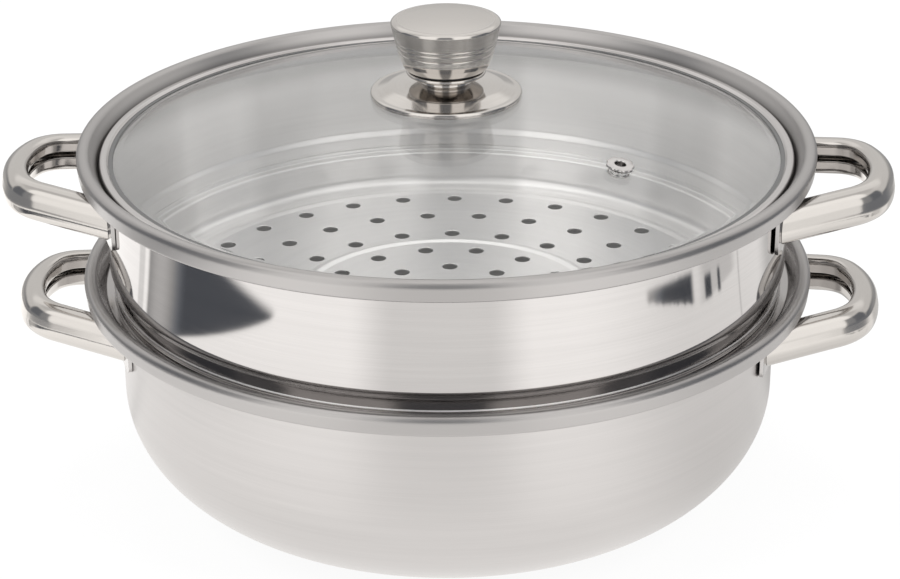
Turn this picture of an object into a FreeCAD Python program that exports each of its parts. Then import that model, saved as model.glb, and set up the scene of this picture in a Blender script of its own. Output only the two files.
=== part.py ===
import FreeCAD, Part
import math
import os

# Two-tier steamer pot in millimetres: a low pot, a steamer tray that nests in its mouth,
# and a domed glass lid that rests in the tray's mouth.
# Origin: centre of the pot's flat base. +Z is up, and the handles lie along +X and -X.

# ---- sheet metal shared by the two tiers ----
SHEET = 0.8                 # thickness of both shells
PINCH = 0.1                 # rest gap under a tier or lid, so that resting faces never overlap

# ---- rim, the same rolled section on both tiers ----
LEDGE_DEPTH = 6.8           # rim crest down to the seating ledge
LEDGE_BEND = 1.0            # bend from the wall into the ledge
CHANNEL_BEND = 0.8          # bend from the ledge into the sloping channel
CHANNEL_SLOPE = 58.0        # degrees above level
LIP_WIDTH = 4.7             # channel top to the outermost point of the lip
LIP_BAND = 8.0              # height of the outer band below the crest
BAND_LEAN = 0.9             # how far the band draws in at its foot
HEM_WIDTH = 1.7             # hem turned under at the foot of the band
HEM_BEND = 1.1

# ---- pot ----
POT_WALL_R = 133.3          # outside of the wall
POT_HEIGHT = 98.0           # base to rim crest
POT_BASE_R = 72.0           # flat part of the base
POT_CORNER_RISE = 48.0      # height of the elliptical corner between base and wall
POT_LEDGE_WIDTH = 6.0       # wall to the foot of the channel

# ---- steamer tray ----
TIER_PITCH = 52.5           # pot crest to steamer crest
NEST_GAP = 1.5              # pot mouth to the nesting neck
SEAT_WIDTH = 2.5            # how far the seating step overhangs the pot's mouth
SHOULDER_STEP = 1.5         # upper neck out to the wall
SHOULDER_RISE = 2.5         # height of the sloping shoulder
UPPER_NECK = 8.3            # seating step up to the foot of the shoulder
NEST_DEPTH = 15.3           # seating step down to the underside of the tray floor
NECK_BEND = 1.2
FLOOR_BEND = 5.0            # floor corner
SHOULDER_BEND = 1.8

HOLE_R = 3.25
FIRST_RING_R = 15.0         # innermost ring of holes
LAST_RING_INSET = 19.5      # outside of the nesting neck to the outermost ring
RING_SHARE = (1.0, 0.7876, 0.5741, 0.3855, 0.1969, 0.0)    # place of each ring between those two
HOLES_PER_STEP = 5          # each ring has this many holes more than the ring inside it
RIDGE_SHARE = 0.4922        # inner stiffening ridge, placed like the rings
RIDGE_INSET = 11.0          # outside of the nesting neck to the outer ridge
RIDGE_RISE = 1.0
RIDGE_HALF = 2.6
RIDGE_BEND = 2.4

# ---- handles ----
HANDLE_REACH = 37.4         # wall to the centreline at the middle of the grip
HANDLE_END_R = 48.0         # plan radius of the grip
HANDLE_END_SWEEP = 22.0     # half angle of the grip, degrees
HANDLE_CORNER_R = 18.0      # plan radius between grip and flank
HANDLE_FLANK_LEAN = 20.0    # flank to the radial direction, degrees
HANDLE_WIDE = 9.4
HANDLE_TALL = 15.0
HANDLE_ROUND = 4.2          # bend of the outer edges
HANDLE_BACK_ROUND = 3.0     # bend of the edges beside the seam
HANDLE_CREASE_OUT = 0.9     # how far the crease stands out of the outer face
HANDLE_CREASE_DROP = 1.5    # crease below mid height
HANDLE_CREASE_BEND = 4.0
HANDLE_SHEET = 1.0
HANDLE_SEAM = 2.4           # height of the open seam along the inner face
HANDLE_LIP = 1.2            # depth of the lips turned in at the seam
HANDLE_TILT = 6.5           # upward tilt away from the wall, degrees
HANDLE_DROP = 22.0          # rim crest to the middle of the handle's foot

PLATE_THICK = 1.5           # mounting plate welded to the wall
PLATE_TALL = 18.0
PLATE_WIDE = 24.0
PLATE_ROUND = 3.0
PLATE_GAP = 0.1             # handle end to plate
TONGUE_LENGTH = 12.0        # tongue of the plate inside the hollow handle
TONGUE_GAP = 0.15

# ---- lid: glass, steel band and seal ----
LID_SIDE_GAP = 0.3          # lid band to the foot of the channel
LEG_GAP = 0.6               # lid leg to the steamer's mouth
CROWN_WIDE = 2.6
CROWN_TALL = 2.2
CROWN_ROUND = 0.9
CROWN_FOOT_ROUND = 0.5
BAND_SHEET = 0.5
LEG_DEPTH = 4.3             # leg below the ledge
LEG_LIP = 3.2               # lip turned in under the glass
SEAL_THICK = 0.7            # silicone around the glass edge
GLASS_THICK = 4.0
SEAL_TOP = 0.9              # ledge up to the seal's top edge
DOME_RISE = 23.6            # glass apex above the outer edge of its top face

# ---- steam vent ----
VENT_R = 87.5               # from the lid's axis
VENT_ANGLE = -40.0          # from +X, degrees
VENT_BORE_R = 2.1
VENT_TUBE = 0.8
VENT_SLEEVE = 0.7           # silicone sleeve between tube and glass
VENT_FLANGE_R = 5.2
VENT_ROLL = 1.1             # thickness of the rolled flange
VENT_PAD = 0.5              # silicone under the upper flange
VENT_CRIMP_R = 4.2
VENT_GAP = 0.05

# ---- knob ----
SKIRT_R = 30.15
SKIRT_SHEET = 0.8
SKIRT_EDGE = 2.0            # height of the skirt's rim above the glass
SKIRT_EDGE_BEND = 1.0
SKIRT_LAND = 2.4            # level ring inside the rim
SKIRT_BREAK_R = 22.5        # where the skirt's slope steepens
SKIRT_BREAK_RISE = 2.0      # above the level ring
SKIRT_BREAK_BEND = 6.0
NECK_R = 9.8
NECK_FOOT_RISE = 3.6        # foot of the neck above the level ring
NECK_TALL = 1.9
NECK_CORNER = 0.9
FLARE_R = 15.8
FLARE_RISE = 1.5            # neck top to the underside of the flare's edge
FLARE_EDGE = 1.5
FLARE_BEND = 0.8
GASKET_THICK = 1.0
GASKET_INSET = 0.9
BODY_FOOT_R = 16.4
BODY_WAIST_R = 18.4
BODY_WAIST_RISE = 3.2
BODY_WAIST_BEND = 18.4
BODY_TOP_R = 21.8
BODY_TALL = 18.0
BODY_SHEET = 0.9
BODY_GROOVE_RISE = (10.2, 12.0)
BODY_GROOVE = 0.35
CAP_EDGE_TALL = 1.2
CAP_DOME = 1.8
CAP_SHEET = 0.9
CAP_SPIGOT = 4.0
CAP_FIT = 0.05
SCREW_R = 2.5
SCREW_HEAD_R = 4.6
SCREW_HEAD_TALL = 2.8
SCREW_SLOT = 1.2
SCREW_CLEAR = 0.3
INSERT_R = 6.0
INSERT_TALL = 12.0
PAD_R = 8.0                 # silicone pads above and below the glass
PAD_THICK = 1.5
GLASS_BORE_R = 5.0
WASHER_R = 7.0
WASHER_THICK = 1.0

# ---- levels and radii that follow from the sizes above ----
pot_mouth_r = POT_WALL_R - SHEET
channel_r = pot_mouth_r + POT_LEDGE_WIDTH
pot_ledge_z = POT_HEIGHT - LEDGE_DEPTH
slope = math.radians(CHANNEL_SLOPE)
rim_r = channel_r + LEDGE_DEPTH / math.tan(slope) + LIP_WIDTH

steamer_crest = POT_HEIGHT + TIER_PITCH
steamer_ledge_z = steamer_crest - LEDGE_DEPTH
seat_z = pot_ledge_z + PINCH
upper_neck_r = pot_mouth_r + SEAT_WIDTH
steamer_wall_r = upper_neck_r + SHOULDER_STEP
steamer_mouth_r = steamer_wall_r - SHEET
nest_r = pot_mouth_r - NEST_GAP
floor_z = seat_z - NEST_DEPTH + SHEET
ring_span = nest_r - LAST_RING_INSET - FIRST_RING_R
ridge_radii = (FIRST_RING_R + ring_span * RIDGE_SHARE, nest_r - RIDGE_INSET)

crown_foot_z = steamer_ledge_z + PINCH
crown_r = channel_r - LID_SIDE_GAP
leg_r = steamer_mouth_r - LEG_GAP
leg_in_r = leg_r - BAND_SHEET
leg_foot_z = steamer_ledge_z - LEG_DEPTH
glass_r = leg_in_r - SEAL_THICK
glass_edge_z = steamer_ledge_z + SEAL_TOP
dome_r = (glass_r ** 2 + DOME_RISE ** 2) / (2 * DOME_RISE)
dome_centre_z = glass_edge_z + DOME_RISE - dome_r

AXIS = FreeCAD.Vector(0, 0, 1)
ORIGIN = FreeCAD.Vector(0, 0, 0)


def glass_z(radius, depth=0.0):
    """Height of the glass at a radius, depth below its top face."""
    return dome_centre_z + math.sqrt((dome_r - depth) ** 2 - radius ** 2)


# ---- bent-sheet sections in the XZ plane ----
def left_of(run):
    """Unit vector to the left of a run in the XZ plane."""
    return FreeCAD.Vector(-run.z, 0, run.x).normalize()


def shifted(corners, shift, closed):
    """Corners of the same bent line moved to its left, with concentric bends."""
    points = [FreeCAD.Vector(x, 0, z) for x, z, bend in corners]
    moved = []
    for i, point in enumerate(points):
        before = point - points[i - 1] if i or closed else None
        after = points[(i + 1) % len(points)] - point if i < len(points) - 1 or closed else None
        if before is None or after is None:
            side = left_of(after or before)
            moved.append((point + side * shift, 0.0))
            continue
        side = (left_of(before) + left_of(after)).normalize()
        half = before.getAngle(after) / 2
        turns_left = before.x * after.z - before.z * after.x > 0
        bend = corners[i][2]
        if bend:
            bend = max(bend - shift if turns_left else bend + shift, 0.0)
        moved.append((point + side * (shift / math.cos(half)), bend))
    return moved


def bent_line(corners, shift=0.0, closed=False):
    """Straight runs joined by tangent arcs; a corner is (across, up, bend radius)."""
    spots = shifted(corners, shift, closed)
    count = len(spots)
    starts = []
    ends = []
    arcs = []
    for i, (point, bend) in enumerate(spots):
        inner = closed or 0 < i < count - 1
        if not (inner and bend):
            starts.append(point)
            ends.append(point)
            arcs.append(None)
            continue
        into = (point - spots[i - 1][0]).normalize()
        out = (spots[(i + 1) % count][0] - point).normalize()
        half = into.getAngle(out) / 2
        setback = bend * math.tan(half)
        middle = point + (out - into).normalize() * (bend / math.cos(half) - bend)
        starts.append(point - into * setback)
        ends.append(point + out * setback)
        arcs.append(Part.Arc(starts[-1], middle, ends[-1]).toShape())
    edges = []
    for i in range(count):
        if arcs[i]:
            edges.append(arcs[i])
        j = (i + 1) % count
        if (closed or j) and (starts[j] - ends[i]).Length > 1e-6:
            edges.append(Part.LineSegment(ends[i], starts[j]).toShape())
    return edges


def face_of(edges):
    return Part.Face(Part.Wire(Part.__sortEdges__(edges)))


def sheet_face(corners, thickness, lead_in=None, lead_in_back=None):
    """Section of a bent sheet: the given line is its left face."""
    front = (lead_in or []) + bent_line(corners)
    back = (lead_in_back or []) + bent_line(corners, -thickness)
    caps = []
    for which in (0, -1):
        a = front[which].Vertexes[which].Point
        b = back[which].Vertexes[which].Point
        caps.append(Part.LineSegment(a, b).toShape())
    return face_of(front + back + caps)


def solid_face(corners):
    return face_of(bent_line(corners, closed=True))


def spun(face):
    return face.revolve(ORIGIN, AXIS, 360)


def tube(outer_r, inner_r, low_z, high_z):
    outer = Part.makeCylinder(outer_r, high_z - low_z, FreeCAD.Vector(0, 0, low_z))
    return outer.cut(Part.makeCylinder(inner_r, high_z - low_z, FreeCAD.Vector(0, 0, low_z)))


# ---- rim and shells ----
def rim_corners(mouth_r, crest_z):
    """Inner face of a wall's top: up the wall, out along the ledge, up the channel, over the lip."""
    ledge_z = crest_z - LEDGE_DEPTH
    lean = math.atan2(BAND_LEAN, LIP_BAND)
    lip_bend = LIP_WIDTH / (math.tan(slope / 2) + math.tan((math.pi / 2 + lean) / 2)) * 0.99
    return [
        (mouth_r, ledge_z, LEDGE_BEND),
        (channel_r, ledge_z, CHANNEL_BEND),
        (rim_r - LIP_WIDTH, crest_z, lip_bend),
        (rim_r, crest_z, lip_bend),
        (rim_r - BAND_LEAN, crest_z - LIP_BAND, HEM_BEND),
        (rim_r - BAND_LEAN - HEM_WIDTH, crest_z - LIP_BAND, 0),
    ]


def base_and_corner(inset):
    """Flat base and elliptical corner, inset from the outer face."""
    turn_z = POT_CORNER_RISE
    across = POT_WALL_R - POT_BASE_R - inset
    rise = POT_CORNER_RISE - inset
    flat = FreeCAD.Vector(POT_BASE_R, 0, inset)
    wall = FreeCAD.Vector(POT_WALL_R - inset, 0, turn_z)
    bulge = math.sqrt(0.5)
    middle = FreeCAD.Vector(POT_BASE_R + across * bulge, 0, turn_z - rise * bulge)
    long_end = wall if across >= rise else flat
    short_end = flat if across >= rise else wall
    centre = FreeCAD.Vector(POT_BASE_R, 0, turn_z)
    ellipse = Part.Ellipse(long_end, short_end, centre)
    first = ellipse.parameter(flat)
    last = ellipse.parameter(wall)
    corner = Part.ArcOfEllipse(ellipse, first, last)
    if (corner.value((corner.FirstParameter + corner.LastParameter) / 2) - middle).Length > 1:
        corner = Part.ArcOfEllipse(ellipse, last, first)
    return [Part.LineSegment(FreeCAD.Vector(0, 0, inset), flat).toShape(), corner.toShape()]


def pot_shell():
    wall = [(pot_mouth_r, POT_CORNER_RISE, 0)] + rim_corners(pot_mouth_r, POT_HEIGHT)
    return spun(sheet_face(wall, SHEET, base_and_corner(SHEET), base_and_corner(0)))


def floor_holes():
    drills = []
    for step, share in enumerate(RING_SHARE):
        ring_r = FIRST_RING_R + ring_span * share
        count = HOLES_PER_STEP * (len(RING_SHARE) - step)
        first = 90 + (step % 2) * 180 / count
        for k in range(count):
            angle = math.radians(first + 360 * k / count)
            foot = FreeCAD.Vector(ring_r * math.cos(angle), ring_r * math.sin(angle), floor_z - 2 * SHEET)
            drills.append(Part.makeCylinder(HOLE_R, 4 * SHEET, foot))
    return Part.makeCompound(drills)


def steamer_shell():
    """Inner face from the floor's centre out to the hem."""
    corners = [(0, floor_z, 0)]
    for ridge_r in ridge_radii:
        corners.append((ridge_r - RIDGE_HALF, floor_z, RIDGE_BEND))
        corners.append((ridge_r, floor_z + RIDGE_RISE, RIDGE_BEND))
        corners.append((ridge_r + RIDGE_HALF, floor_z, RIDGE_BEND))
    neck_in_r = upper_neck_r - SHEET
    shoulder_z = seat_z + UPPER_NECK
    corners += [
        (nest_r - SHEET, floor_z, FLOOR_BEND),
        (nest_r - SHEET, seat_z + SHEET, NECK_BEND),
        (neck_in_r, seat_z + SHEET, NECK_BEND),
        (neck_in_r, shoulder_z, SHOULDER_BEND),
        (steamer_mouth_r, shoulder_z + SHOULDER_RISE, SHOULDER_BEND),
    ]
    corners += rim_corners(steamer_mouth_r, steamer_crest)
    return spun(sheet_face(corners, SHEET)).cut(floor_holes())


# ---- handles and their mounting plates ----
def strap_outline(inset):
    """Closed outline of the hollow strap: across is away from the finger gap, up is up."""
    half_wide = HANDLE_WIDE / 2
    half_tall = HANDLE_TALL / 2
    corners = [
        (half_wide, -half_tall, HANDLE_ROUND),
        (half_wide + HANDLE_CREASE_OUT, -HANDLE_CREASE_DROP, HANDLE_CREASE_BEND),
        (half_wide, half_tall, HANDLE_ROUND),
        (-half_wide, half_tall, HANDLE_BACK_ROUND),
        (-half_wide, -half_tall, HANDLE_BACK_ROUND),
    ]
    return face_of(bent_line(corners, inset, closed=True))


def strap_section():
    """Rolled strap with an open seam along its inner face, its edges turned in as lips."""
    half_wide = HANDLE_WIDE / 2
    half_seam = HANDLE_SEAM / 2
    ring = strap_outline(0).cut(strap_outline(HANDLE_SHEET))
    lips = []
    for side in (-1, 1):
        low = min(side * half_seam, side * (half_seam + HANDLE_SHEET))
        corner = FreeCAD.Vector(-half_wide, 0, low)
        lips.append(Part.makePlane(HANDLE_SHEET + HANDLE_LIP, HANDLE_SHEET, corner, FreeCAD.Vector(0, -1, 0)))
    seam_corner = FreeCAD.Vector(-half_wide - HANDLE_SHEET, 0, -half_seam)
    seam = Part.makePlane(3 * HANDLE_SHEET, HANDLE_SEAM, seam_corner, FreeCAD.Vector(0, -1, 0))
    return ring.fuse(lips).cut(seam).removeSplitter()


def standing(face, centre, radius, angle):
    """A section stood upright, facing along the path, at an angle of a plan arc."""
    placed = face.copy()
    placed.translate(FreeCAD.Vector(radius, 0, 0))
    placed.rotate(ORIGIN, AXIS, angle)
    placed.translate(centre)
    return placed


def handle_plan(wall_r):
    """Centres of the grip arc and the corner arc, and the angle where the flank starts."""
    grip_centre = FreeCAD.Vector(wall_r + HANDLE_REACH - HANDLE_END_R, 0, 0)
    sweep = math.radians(HANDLE_END_SWEEP)
    away = FreeCAD.Vector(math.cos(sweep), math.sin(sweep), 0)
    corner_centre = grip_centre + away * (HANDLE_END_R - HANDLE_CORNER_R)
    return grip_centre, corner_centre, 90 - HANDLE_FLANK_LEAN


def flank(face, wall_r):
    """The strap's straight run from the corner in to the wall."""
    grip_centre, corner_centre, flank_angle = handle_plan(wall_r)
    start = standing(face, corner_centre, HANDLE_CORNER_R, flank_angle)
    run = FreeCAD.Vector(-math.sin(math.radians(flank_angle)), math.cos(math.radians(flank_angle)), 0)
    return start.extrude(run * (HANDLE_REACH + HANDLE_WIDE))


def tilted(shape, wall_r, foot_z):
    """Lift the far end of a handle part about the wall and set it at its height."""
    raised = shape.copy()
    raised.rotate(FreeCAD.Vector(wall_r, 0, 0), FreeCAD.Vector(0, 1, 0), -HANDLE_TILT)
    raised.translate(FreeCAD.Vector(0, 0, foot_z))
    return raised


def around(radius, foot_z):
    """A drum about the pot's axis, tall enough for a handle's foot."""
    tall = 4 * HANDLE_TALL
    return Part.makeCylinder(radius, tall, FreeCAD.Vector(0, 0, foot_z - tall / 2))


def handle(wall_r, foot_z):
    section = strap_section()
    grip_centre, corner_centre, flank_angle = handle_plan(wall_r)
    grip = standing(section, grip_centre, HANDLE_END_R, 0).revolve(grip_centre, AXIS, HANDLE_END_SWEEP)
    corner = standing(section, corner_centre, HANDLE_CORNER_R, HANDLE_END_SWEEP)
    corner = corner.revolve(corner_centre, AXIS, flank_angle - HANDLE_END_SWEEP)
    half = [grip, corner, flank(section, wall_r)]
    other_half = [piece.mirror(ORIGIN, FreeCAD.Vector(0, 1, 0)) for piece in half]
    loop = half[0].fuse(half[1:] + other_half).removeSplitter()
    return tilted(loop, wall_r, foot_z).cut(around(wall_r + PLATE_THICK + PLATE_GAP, foot_z))


def foot_angle(wall_r):
    """Plan angle at which the flank's centreline meets the wall."""
    grip_centre, corner_centre, flank_angle = handle_plan(wall_r)
    normal = math.radians(flank_angle)
    offset = corner_centre.x * math.cos(normal) + corner_centre.y * math.sin(normal) + HANDLE_CORNER_R
    return flank_angle - math.degrees(math.acos(offset / wall_r))


def bracket(wall_r, foot_z, side):
    """Plate curved to the wall, with a tongue that fills the end of the hollow strap."""
    plate = Part.makeBox(2 * HANDLE_WIDE, PLATE_WIDE, PLATE_TALL,
                         FreeCAD.Vector(wall_r - HANDLE_WIDE, -PLATE_WIDE / 2, -PLATE_TALL / 2))
    long_edges = [edge for edge in plate.Edges if abs(edge.tangentAt(edge.FirstParameter).x) > 0.9]
    plate = plate.makeFillet(PLATE_ROUND, long_edges)
    plate.rotate(ORIGIN, AXIS, foot_angle(wall_r))
    plate.translate(FreeCAD.Vector(0, 0, foot_z))
    plate = plate.common(around(wall_r + PLATE_THICK, foot_z)).cut(around(wall_r, foot_z))
    core = strap_outline(HANDLE_SHEET + TONGUE_GAP)
    slot_side = FreeCAD.Vector(-HANDLE_WIDE, 0, -HANDLE_TALL)
    lip_space = HANDLE_WIDE / 2 + HANDLE_SHEET + HANDLE_LIP + TONGUE_GAP
    core = core.cut(Part.makePlane(lip_space, 2 * HANDLE_TALL, slot_side, FreeCAD.Vector(0, -1, 0)))
    tongue = tilted(flank(core, wall_r), wall_r, foot_z)
    tongue = tongue.common(around(wall_r + TONGUE_LENGTH, foot_z)).cut(around(wall_r + PLATE_THICK / 2, foot_z))
    piece = plate.fuse(tongue).removeSplitter()
    if side < 0:
        piece = piece.mirror(ORIGIN, FreeCAD.Vector(0, 1, 0))
    return piece


def turned(shape, angle):
    copy = shape.copy()
    copy.rotate(ORIGIN, AXIS, angle)
    return copy


# ---- lid ----
def dome_face(outer_r, hole_r):
    """Section of the glass: two concentric arcs from the centre hole to the edge."""
    middle_r = (outer_r + hole_r) / 2
    edges = []
    for depth in (0.0, GLASS_THICK):
        spots = [FreeCAD.Vector(r, 0, glass_z(r, depth)) for r in (hole_r, middle_r, outer_r)]
        edges.append(Part.Arc(*spots).toShape())
    for r in (hole_r, outer_r):
        top = FreeCAD.Vector(r, 0, glass_z(r))
        low = FreeCAD.Vector(r, 0, glass_z(r, GLASS_THICK))
        edges.append(Part.LineSegment(top, low).toShape())
    return face_of(edges)


def at_vent(shape):
    """Stand a part on the glass at the vent, square to the dome."""
    placed = shape.copy()
    placed.translate(FreeCAD.Vector(0, 0, dome_r))
    placed.rotate(ORIGIN, FreeCAD.Vector(0, 1, 0), math.degrees(math.asin(VENT_R / dome_r)))
    placed.rotate(ORIGIN, AXIS, VENT_ANGLE)
    placed.translate(FreeCAD.Vector(0, 0, dome_centre_z))
    return placed


vent_tube_r = VENT_BORE_R + VENT_TUBE
vent_hole_r = vent_tube_r + VENT_SLEEVE


def lid_glass():
    vent_drill = Part.makeCylinder(vent_hole_r, 4 * GLASS_THICK, FreeCAD.Vector(0, 0, -2 * GLASS_THICK))
    return spun(dome_face(glass_r, GLASS_BORE_R)).cut(at_vent(vent_drill))


def lid_rim_band():
    """Steel band: a rounded crown on the ledge, a leg inside the mouth and a lip under the glass."""
    crown_z = crown_foot_z + CROWN_TALL
    corners = [
        (leg_r - LEG_LIP, leg_foot_z, 0),
        (leg_r, leg_foot_z, BAND_SHEET),
        (leg_r, crown_foot_z, 0),
        (crown_r, crown_foot_z, CROWN_FOOT_ROUND),
        (crown_r, crown_z, CROWN_ROUND),
        (crown_r - CROWN_WIDE, crown_z, CROWN_ROUND),
        (leg_in_r, glass_edge_z + BAND_SHEET, 0),
        (leg_in_r, leg_foot_z + BAND_SHEET, 0),
        (leg_r - LEG_LIP, leg_foot_z + BAND_SHEET, 0),
    ]
    return spun(solid_face(corners))


def lid_edge_seal():
    """Silicone between the glass edge and the band, and under the glass on the lip."""
    block = tube(leg_in_r, leg_r - LEG_LIP, leg_foot_z + BAND_SHEET, glass_edge_z)
    return block.cut(spun(dome_face(glass_r, leg_r - 2 * LEG_LIP)))


def vent_eyelet():
    """Rolled flange on top, tube through the glass, crimped foot below."""
    flange_z = VENT_PAD + 2 * VENT_GAP
    top_z = flange_z + VENT_ROLL
    crimp_z = -GLASS_THICK - 2 * VENT_GAP
    foot_z = crimp_z - VENT_TUBE
    corners = [
        (VENT_BORE_R, foot_z, VENT_TUBE / 2),
        (VENT_CRIMP_R, foot_z, VENT_TUBE / 4),
        (VENT_CRIMP_R, crimp_z, VENT_TUBE / 4),
        (vent_tube_r, crimp_z, 0),
        (vent_tube_r, flange_z, 0),
        (VENT_FLANGE_R, flange_z, VENT_ROLL / 3),
        (VENT_FLANGE_R, top_z, VENT_ROLL / 2),
        (VENT_BORE_R, top_z, VENT_ROLL / 2),
    ]
    return at_vent(spun(solid_face(corners)))


def vent_washer():
    """Silicone pad under the flange with a sleeve down through the glass."""
    pad = tube(VENT_FLANGE_R - VENT_ROLL / 2, vent_tube_r, VENT_GAP, VENT_GAP + VENT_PAD)
    sleeve = tube(vent_hole_r - VENT_GAP, vent_tube_r, -GLASS_THICK, VENT_GAP)
    return at_vent(pad.fuse(sleeve).removeSplitter())


# ---- knob, stacked upwards from the glass ----
skirt_foot_z = glass_z(SKIRT_R) + PINCH
skirt_land_z = skirt_foot_z + SKIRT_EDGE
neck_foot_z = skirt_land_z + NECK_FOOT_RISE
neck_top_z = neck_foot_z + NECK_TALL
flare_under_z = neck_top_z + FLARE_RISE
flare_top_z = flare_under_z + FLARE_EDGE
body_foot_z = flare_top_z + GASKET_THICK
body_top_z = body_foot_z + BODY_TALL
pad_foot_z = glass_z(0)
pad_top_z = pad_foot_z + PAD_THICK
lower_pad_z = glass_z(PAD_R, GLASS_THICK) - PINCH / 2
washer_top_z = lower_pad_z - PAD_THICK
washer_foot_z = washer_top_z - WASHER_THICK
insert_top_z = body_foot_z + INSERT_TALL


def knob_skirt():
    """Spun trumpet: clamped top flange, flare, neck, sloping skirt and turned-down rim."""
    corners = [
        (INSERT_R, flare_top_z, 0),
        (FLARE_R, flare_top_z, FLARE_BEND),
        (FLARE_R, flare_under_z, FLARE_BEND),
        (NECK_R, neck_top_z, NECK_CORNER),
        (NECK_R, neck_foot_z, NECK_CORNER),
        (SKIRT_BREAK_R, skirt_land_z + SKIRT_BREAK_RISE, SKIRT_BREAK_BEND),
        (SKIRT_R - SKIRT_LAND, skirt_land_z, SKIRT_EDGE_BEND),
        (SKIRT_R, skirt_land_z, SKIRT_EDGE_BEND),
        (SKIRT_R, skirt_foot_z, 0),
    ]
    return spun(sheet_face(corners, SKIRT_SHEET))


def knob_gasket():
    return tube(FLARE_R - GASKET_INSET, INSERT_R, flare_top_z, body_foot_z)


def body_radius(rise):
    """Radius of the body's upper cone at a height above its foot."""
    share = (rise - BODY_WAIST_RISE) / (BODY_TALL - BODY_WAIST_RISE)
    return BODY_WAIST_R + (BODY_TOP_R - BODY_WAIST_R) * share


def knob_body():
    """Flaring cup with a closed foot, fine turned grooves and a top edge cut level."""
    corners = [
        (BODY_TOP_R, body_top_z, 0),
        (BODY_WAIST_R, body_foot_z + BODY_WAIST_RISE, BODY_WAIST_BEND),
        (BODY_FOOT_R, body_foot_z, BODY_SHEET),
        (INSERT_R, body_foot_z, 0),
    ]
    level = Part.makeCylinder(2 * BODY_TOP_R, BODY_TALL, FreeCAD.Vector(0, 0, body_foot_z))
    cup = spun(sheet_face(corners, BODY_SHEET)).common(level)
    for rise in BODY_GROOVE_RISE:
        ring = Part.makeTorus(body_radius(rise) + BODY_GROOVE / 4, BODY_GROOVE)
        ring.translate(FreeCAD.Vector(0, 0, body_foot_z + rise))
        cup = cup.cut(ring)
    return cup


def knob_cap():
    """Shallow dome with a rolled edge that stands on the body and a spigot inside it."""
    edge_z = body_top_z + CAP_EDGE_TALL
    rest_r = BODY_TOP_R - BODY_SHEET
    spigot_r = rest_r - CAP_FIT - CAP_SPIGOT * (BODY_TOP_R - BODY_WAIST_R) / (BODY_TALL - BODY_WAIST_RISE)
    dome = (BODY_TOP_R ** 2 + CAP_DOME ** 2) / (2 * CAP_DOME)
    ball = Part.makeSphere(dome, FreeCAD.Vector(0, 0, edge_z + CAP_DOME - dome))
    disc = Part.makeCylinder(BODY_TOP_R, CAP_EDGE_TALL + CAP_DOME, FreeCAD.Vector(0, 0, body_top_z)).common(ball)
    edge = [e for e in disc.Edges if abs(e.BoundBox.ZMax - edge_z) < 0.01 and e.BoundBox.XLength > BODY_TOP_R]
    disc = disc.makeFillet(CAP_EDGE_TALL * 0.8, edge)
    spigot = tube(spigot_r, spigot_r - CAP_SHEET, body_top_z - CAP_SPIGOT, body_top_z)
    return disc.fuse(spigot).removeSplitter()


def knob_bush():
    """Spacer inside the neck that carries the screw's pull from the flange to the pad."""
    flange_under_z = flare_top_z - SKIRT_SHEET
    bush = tube(NECK_R - SKIRT_SHEET - SCREW_CLEAR, SCREW_R + SCREW_CLEAR, pad_top_z, flange_under_z)
    return bush


def knob_insert():
    """Tapped core: it stands on the bush, passes the flange, gasket and foot, and fills the cup's centre."""
    foot_z = flare_top_z - SKIRT_SHEET
    return tube(INSERT_R, SCREW_R, foot_z, insert_top_z)


def knob_screw():
    """Slotted pan-head screw up through the washer, pads, glass and bush into the insert."""
    head_foot_z = washer_foot_z - SCREW_HEAD_TALL
    head = Part.makeCylinder(SCREW_HEAD_R, SCREW_HEAD_TALL, FreeCAD.Vector(0, 0, head_foot_z))
    head = head.makeFillet(SCREW_HEAD_TALL / 3, [e for e in head.Edges if e.BoundBox.ZMax < washer_foot_z - 1])
    slot = Part.makeBox(4 * SCREW_HEAD_R, SCREW_SLOT, 2 * SCREW_SLOT,
                        FreeCAD.Vector(-2 * SCREW_HEAD_R, -SCREW_SLOT / 2, head_foot_z - SCREW_SLOT))
    shank_top_z = insert_top_z - SCREW_SLOT
    shank = Part.makeCylinder(SCREW_R, shank_top_z - washer_foot_z, FreeCAD.Vector(0, 0, washer_foot_z))
    return head.cut(slot).fuse(shank).removeSplitter()


def knob_seal_upper():
    return tube(PAD_R, SCREW_R + SCREW_CLEAR, pad_foot_z, pad_top_z)


def knob_seal_lower():
    """Pad below the glass with a sleeve up its bore."""
    pad = tube(PAD_R, SCREW_R + SCREW_CLEAR, washer_top_z, lower_pad_z)
    sleeve = tube(GLASS_BORE_R - PINCH, SCREW_R + SCREW_CLEAR, lower_pad_z, pad_foot_z)
    return pad.fuse(sleeve).removeSplitter()


def knob_steel_washer():
    return tube(WASHER_R, SCREW_R + SCREW_CLEAR, washer_foot_z, washer_top_z)


# ---- all pieces ----
def tier_handles(tier, wall_r, crest_z):
    """Two handles and four plates of one tier, keyed by name."""
    foot_z = crest_z - HANDLE_DROP
    loop = handle(wall_r, foot_z)
    plates = {"back": bracket(wall_r, foot_z, 1), "front": bracket(wall_r, foot_z, -1)}
    named = {}
    for hand, angle in (("right", 0), ("left", 180)):
        named[tier + "_handle_" + hand] = turned(loop, angle)
        for place, plate in plates.items():
            far = place if hand == "right" else {"back": "front", "front": "back"}[place]
            named[tier + "_bracket_" + hand + "_" + far] = turned(plate, angle)
    return named


def pieces():
    named = {"pot_shell": pot_shell(), "steamer_shell": steamer_shell()}
    named.update(tier_handles("pot", POT_WALL_R, POT_HEIGHT))
    named.update(tier_handles("steamer", steamer_wall_r, steamer_crest))
    for build in (lid_glass, lid_rim_band, lid_edge_seal, vent_eyelet, vent_washer,
                  knob_skirt, knob_gasket, knob_body, knob_cap, knob_bush, knob_insert,
                  knob_screw, knob_seal_upper, knob_seal_lower, knob_steel_washer):
        named[build.__name__] = build()
    return named


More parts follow.
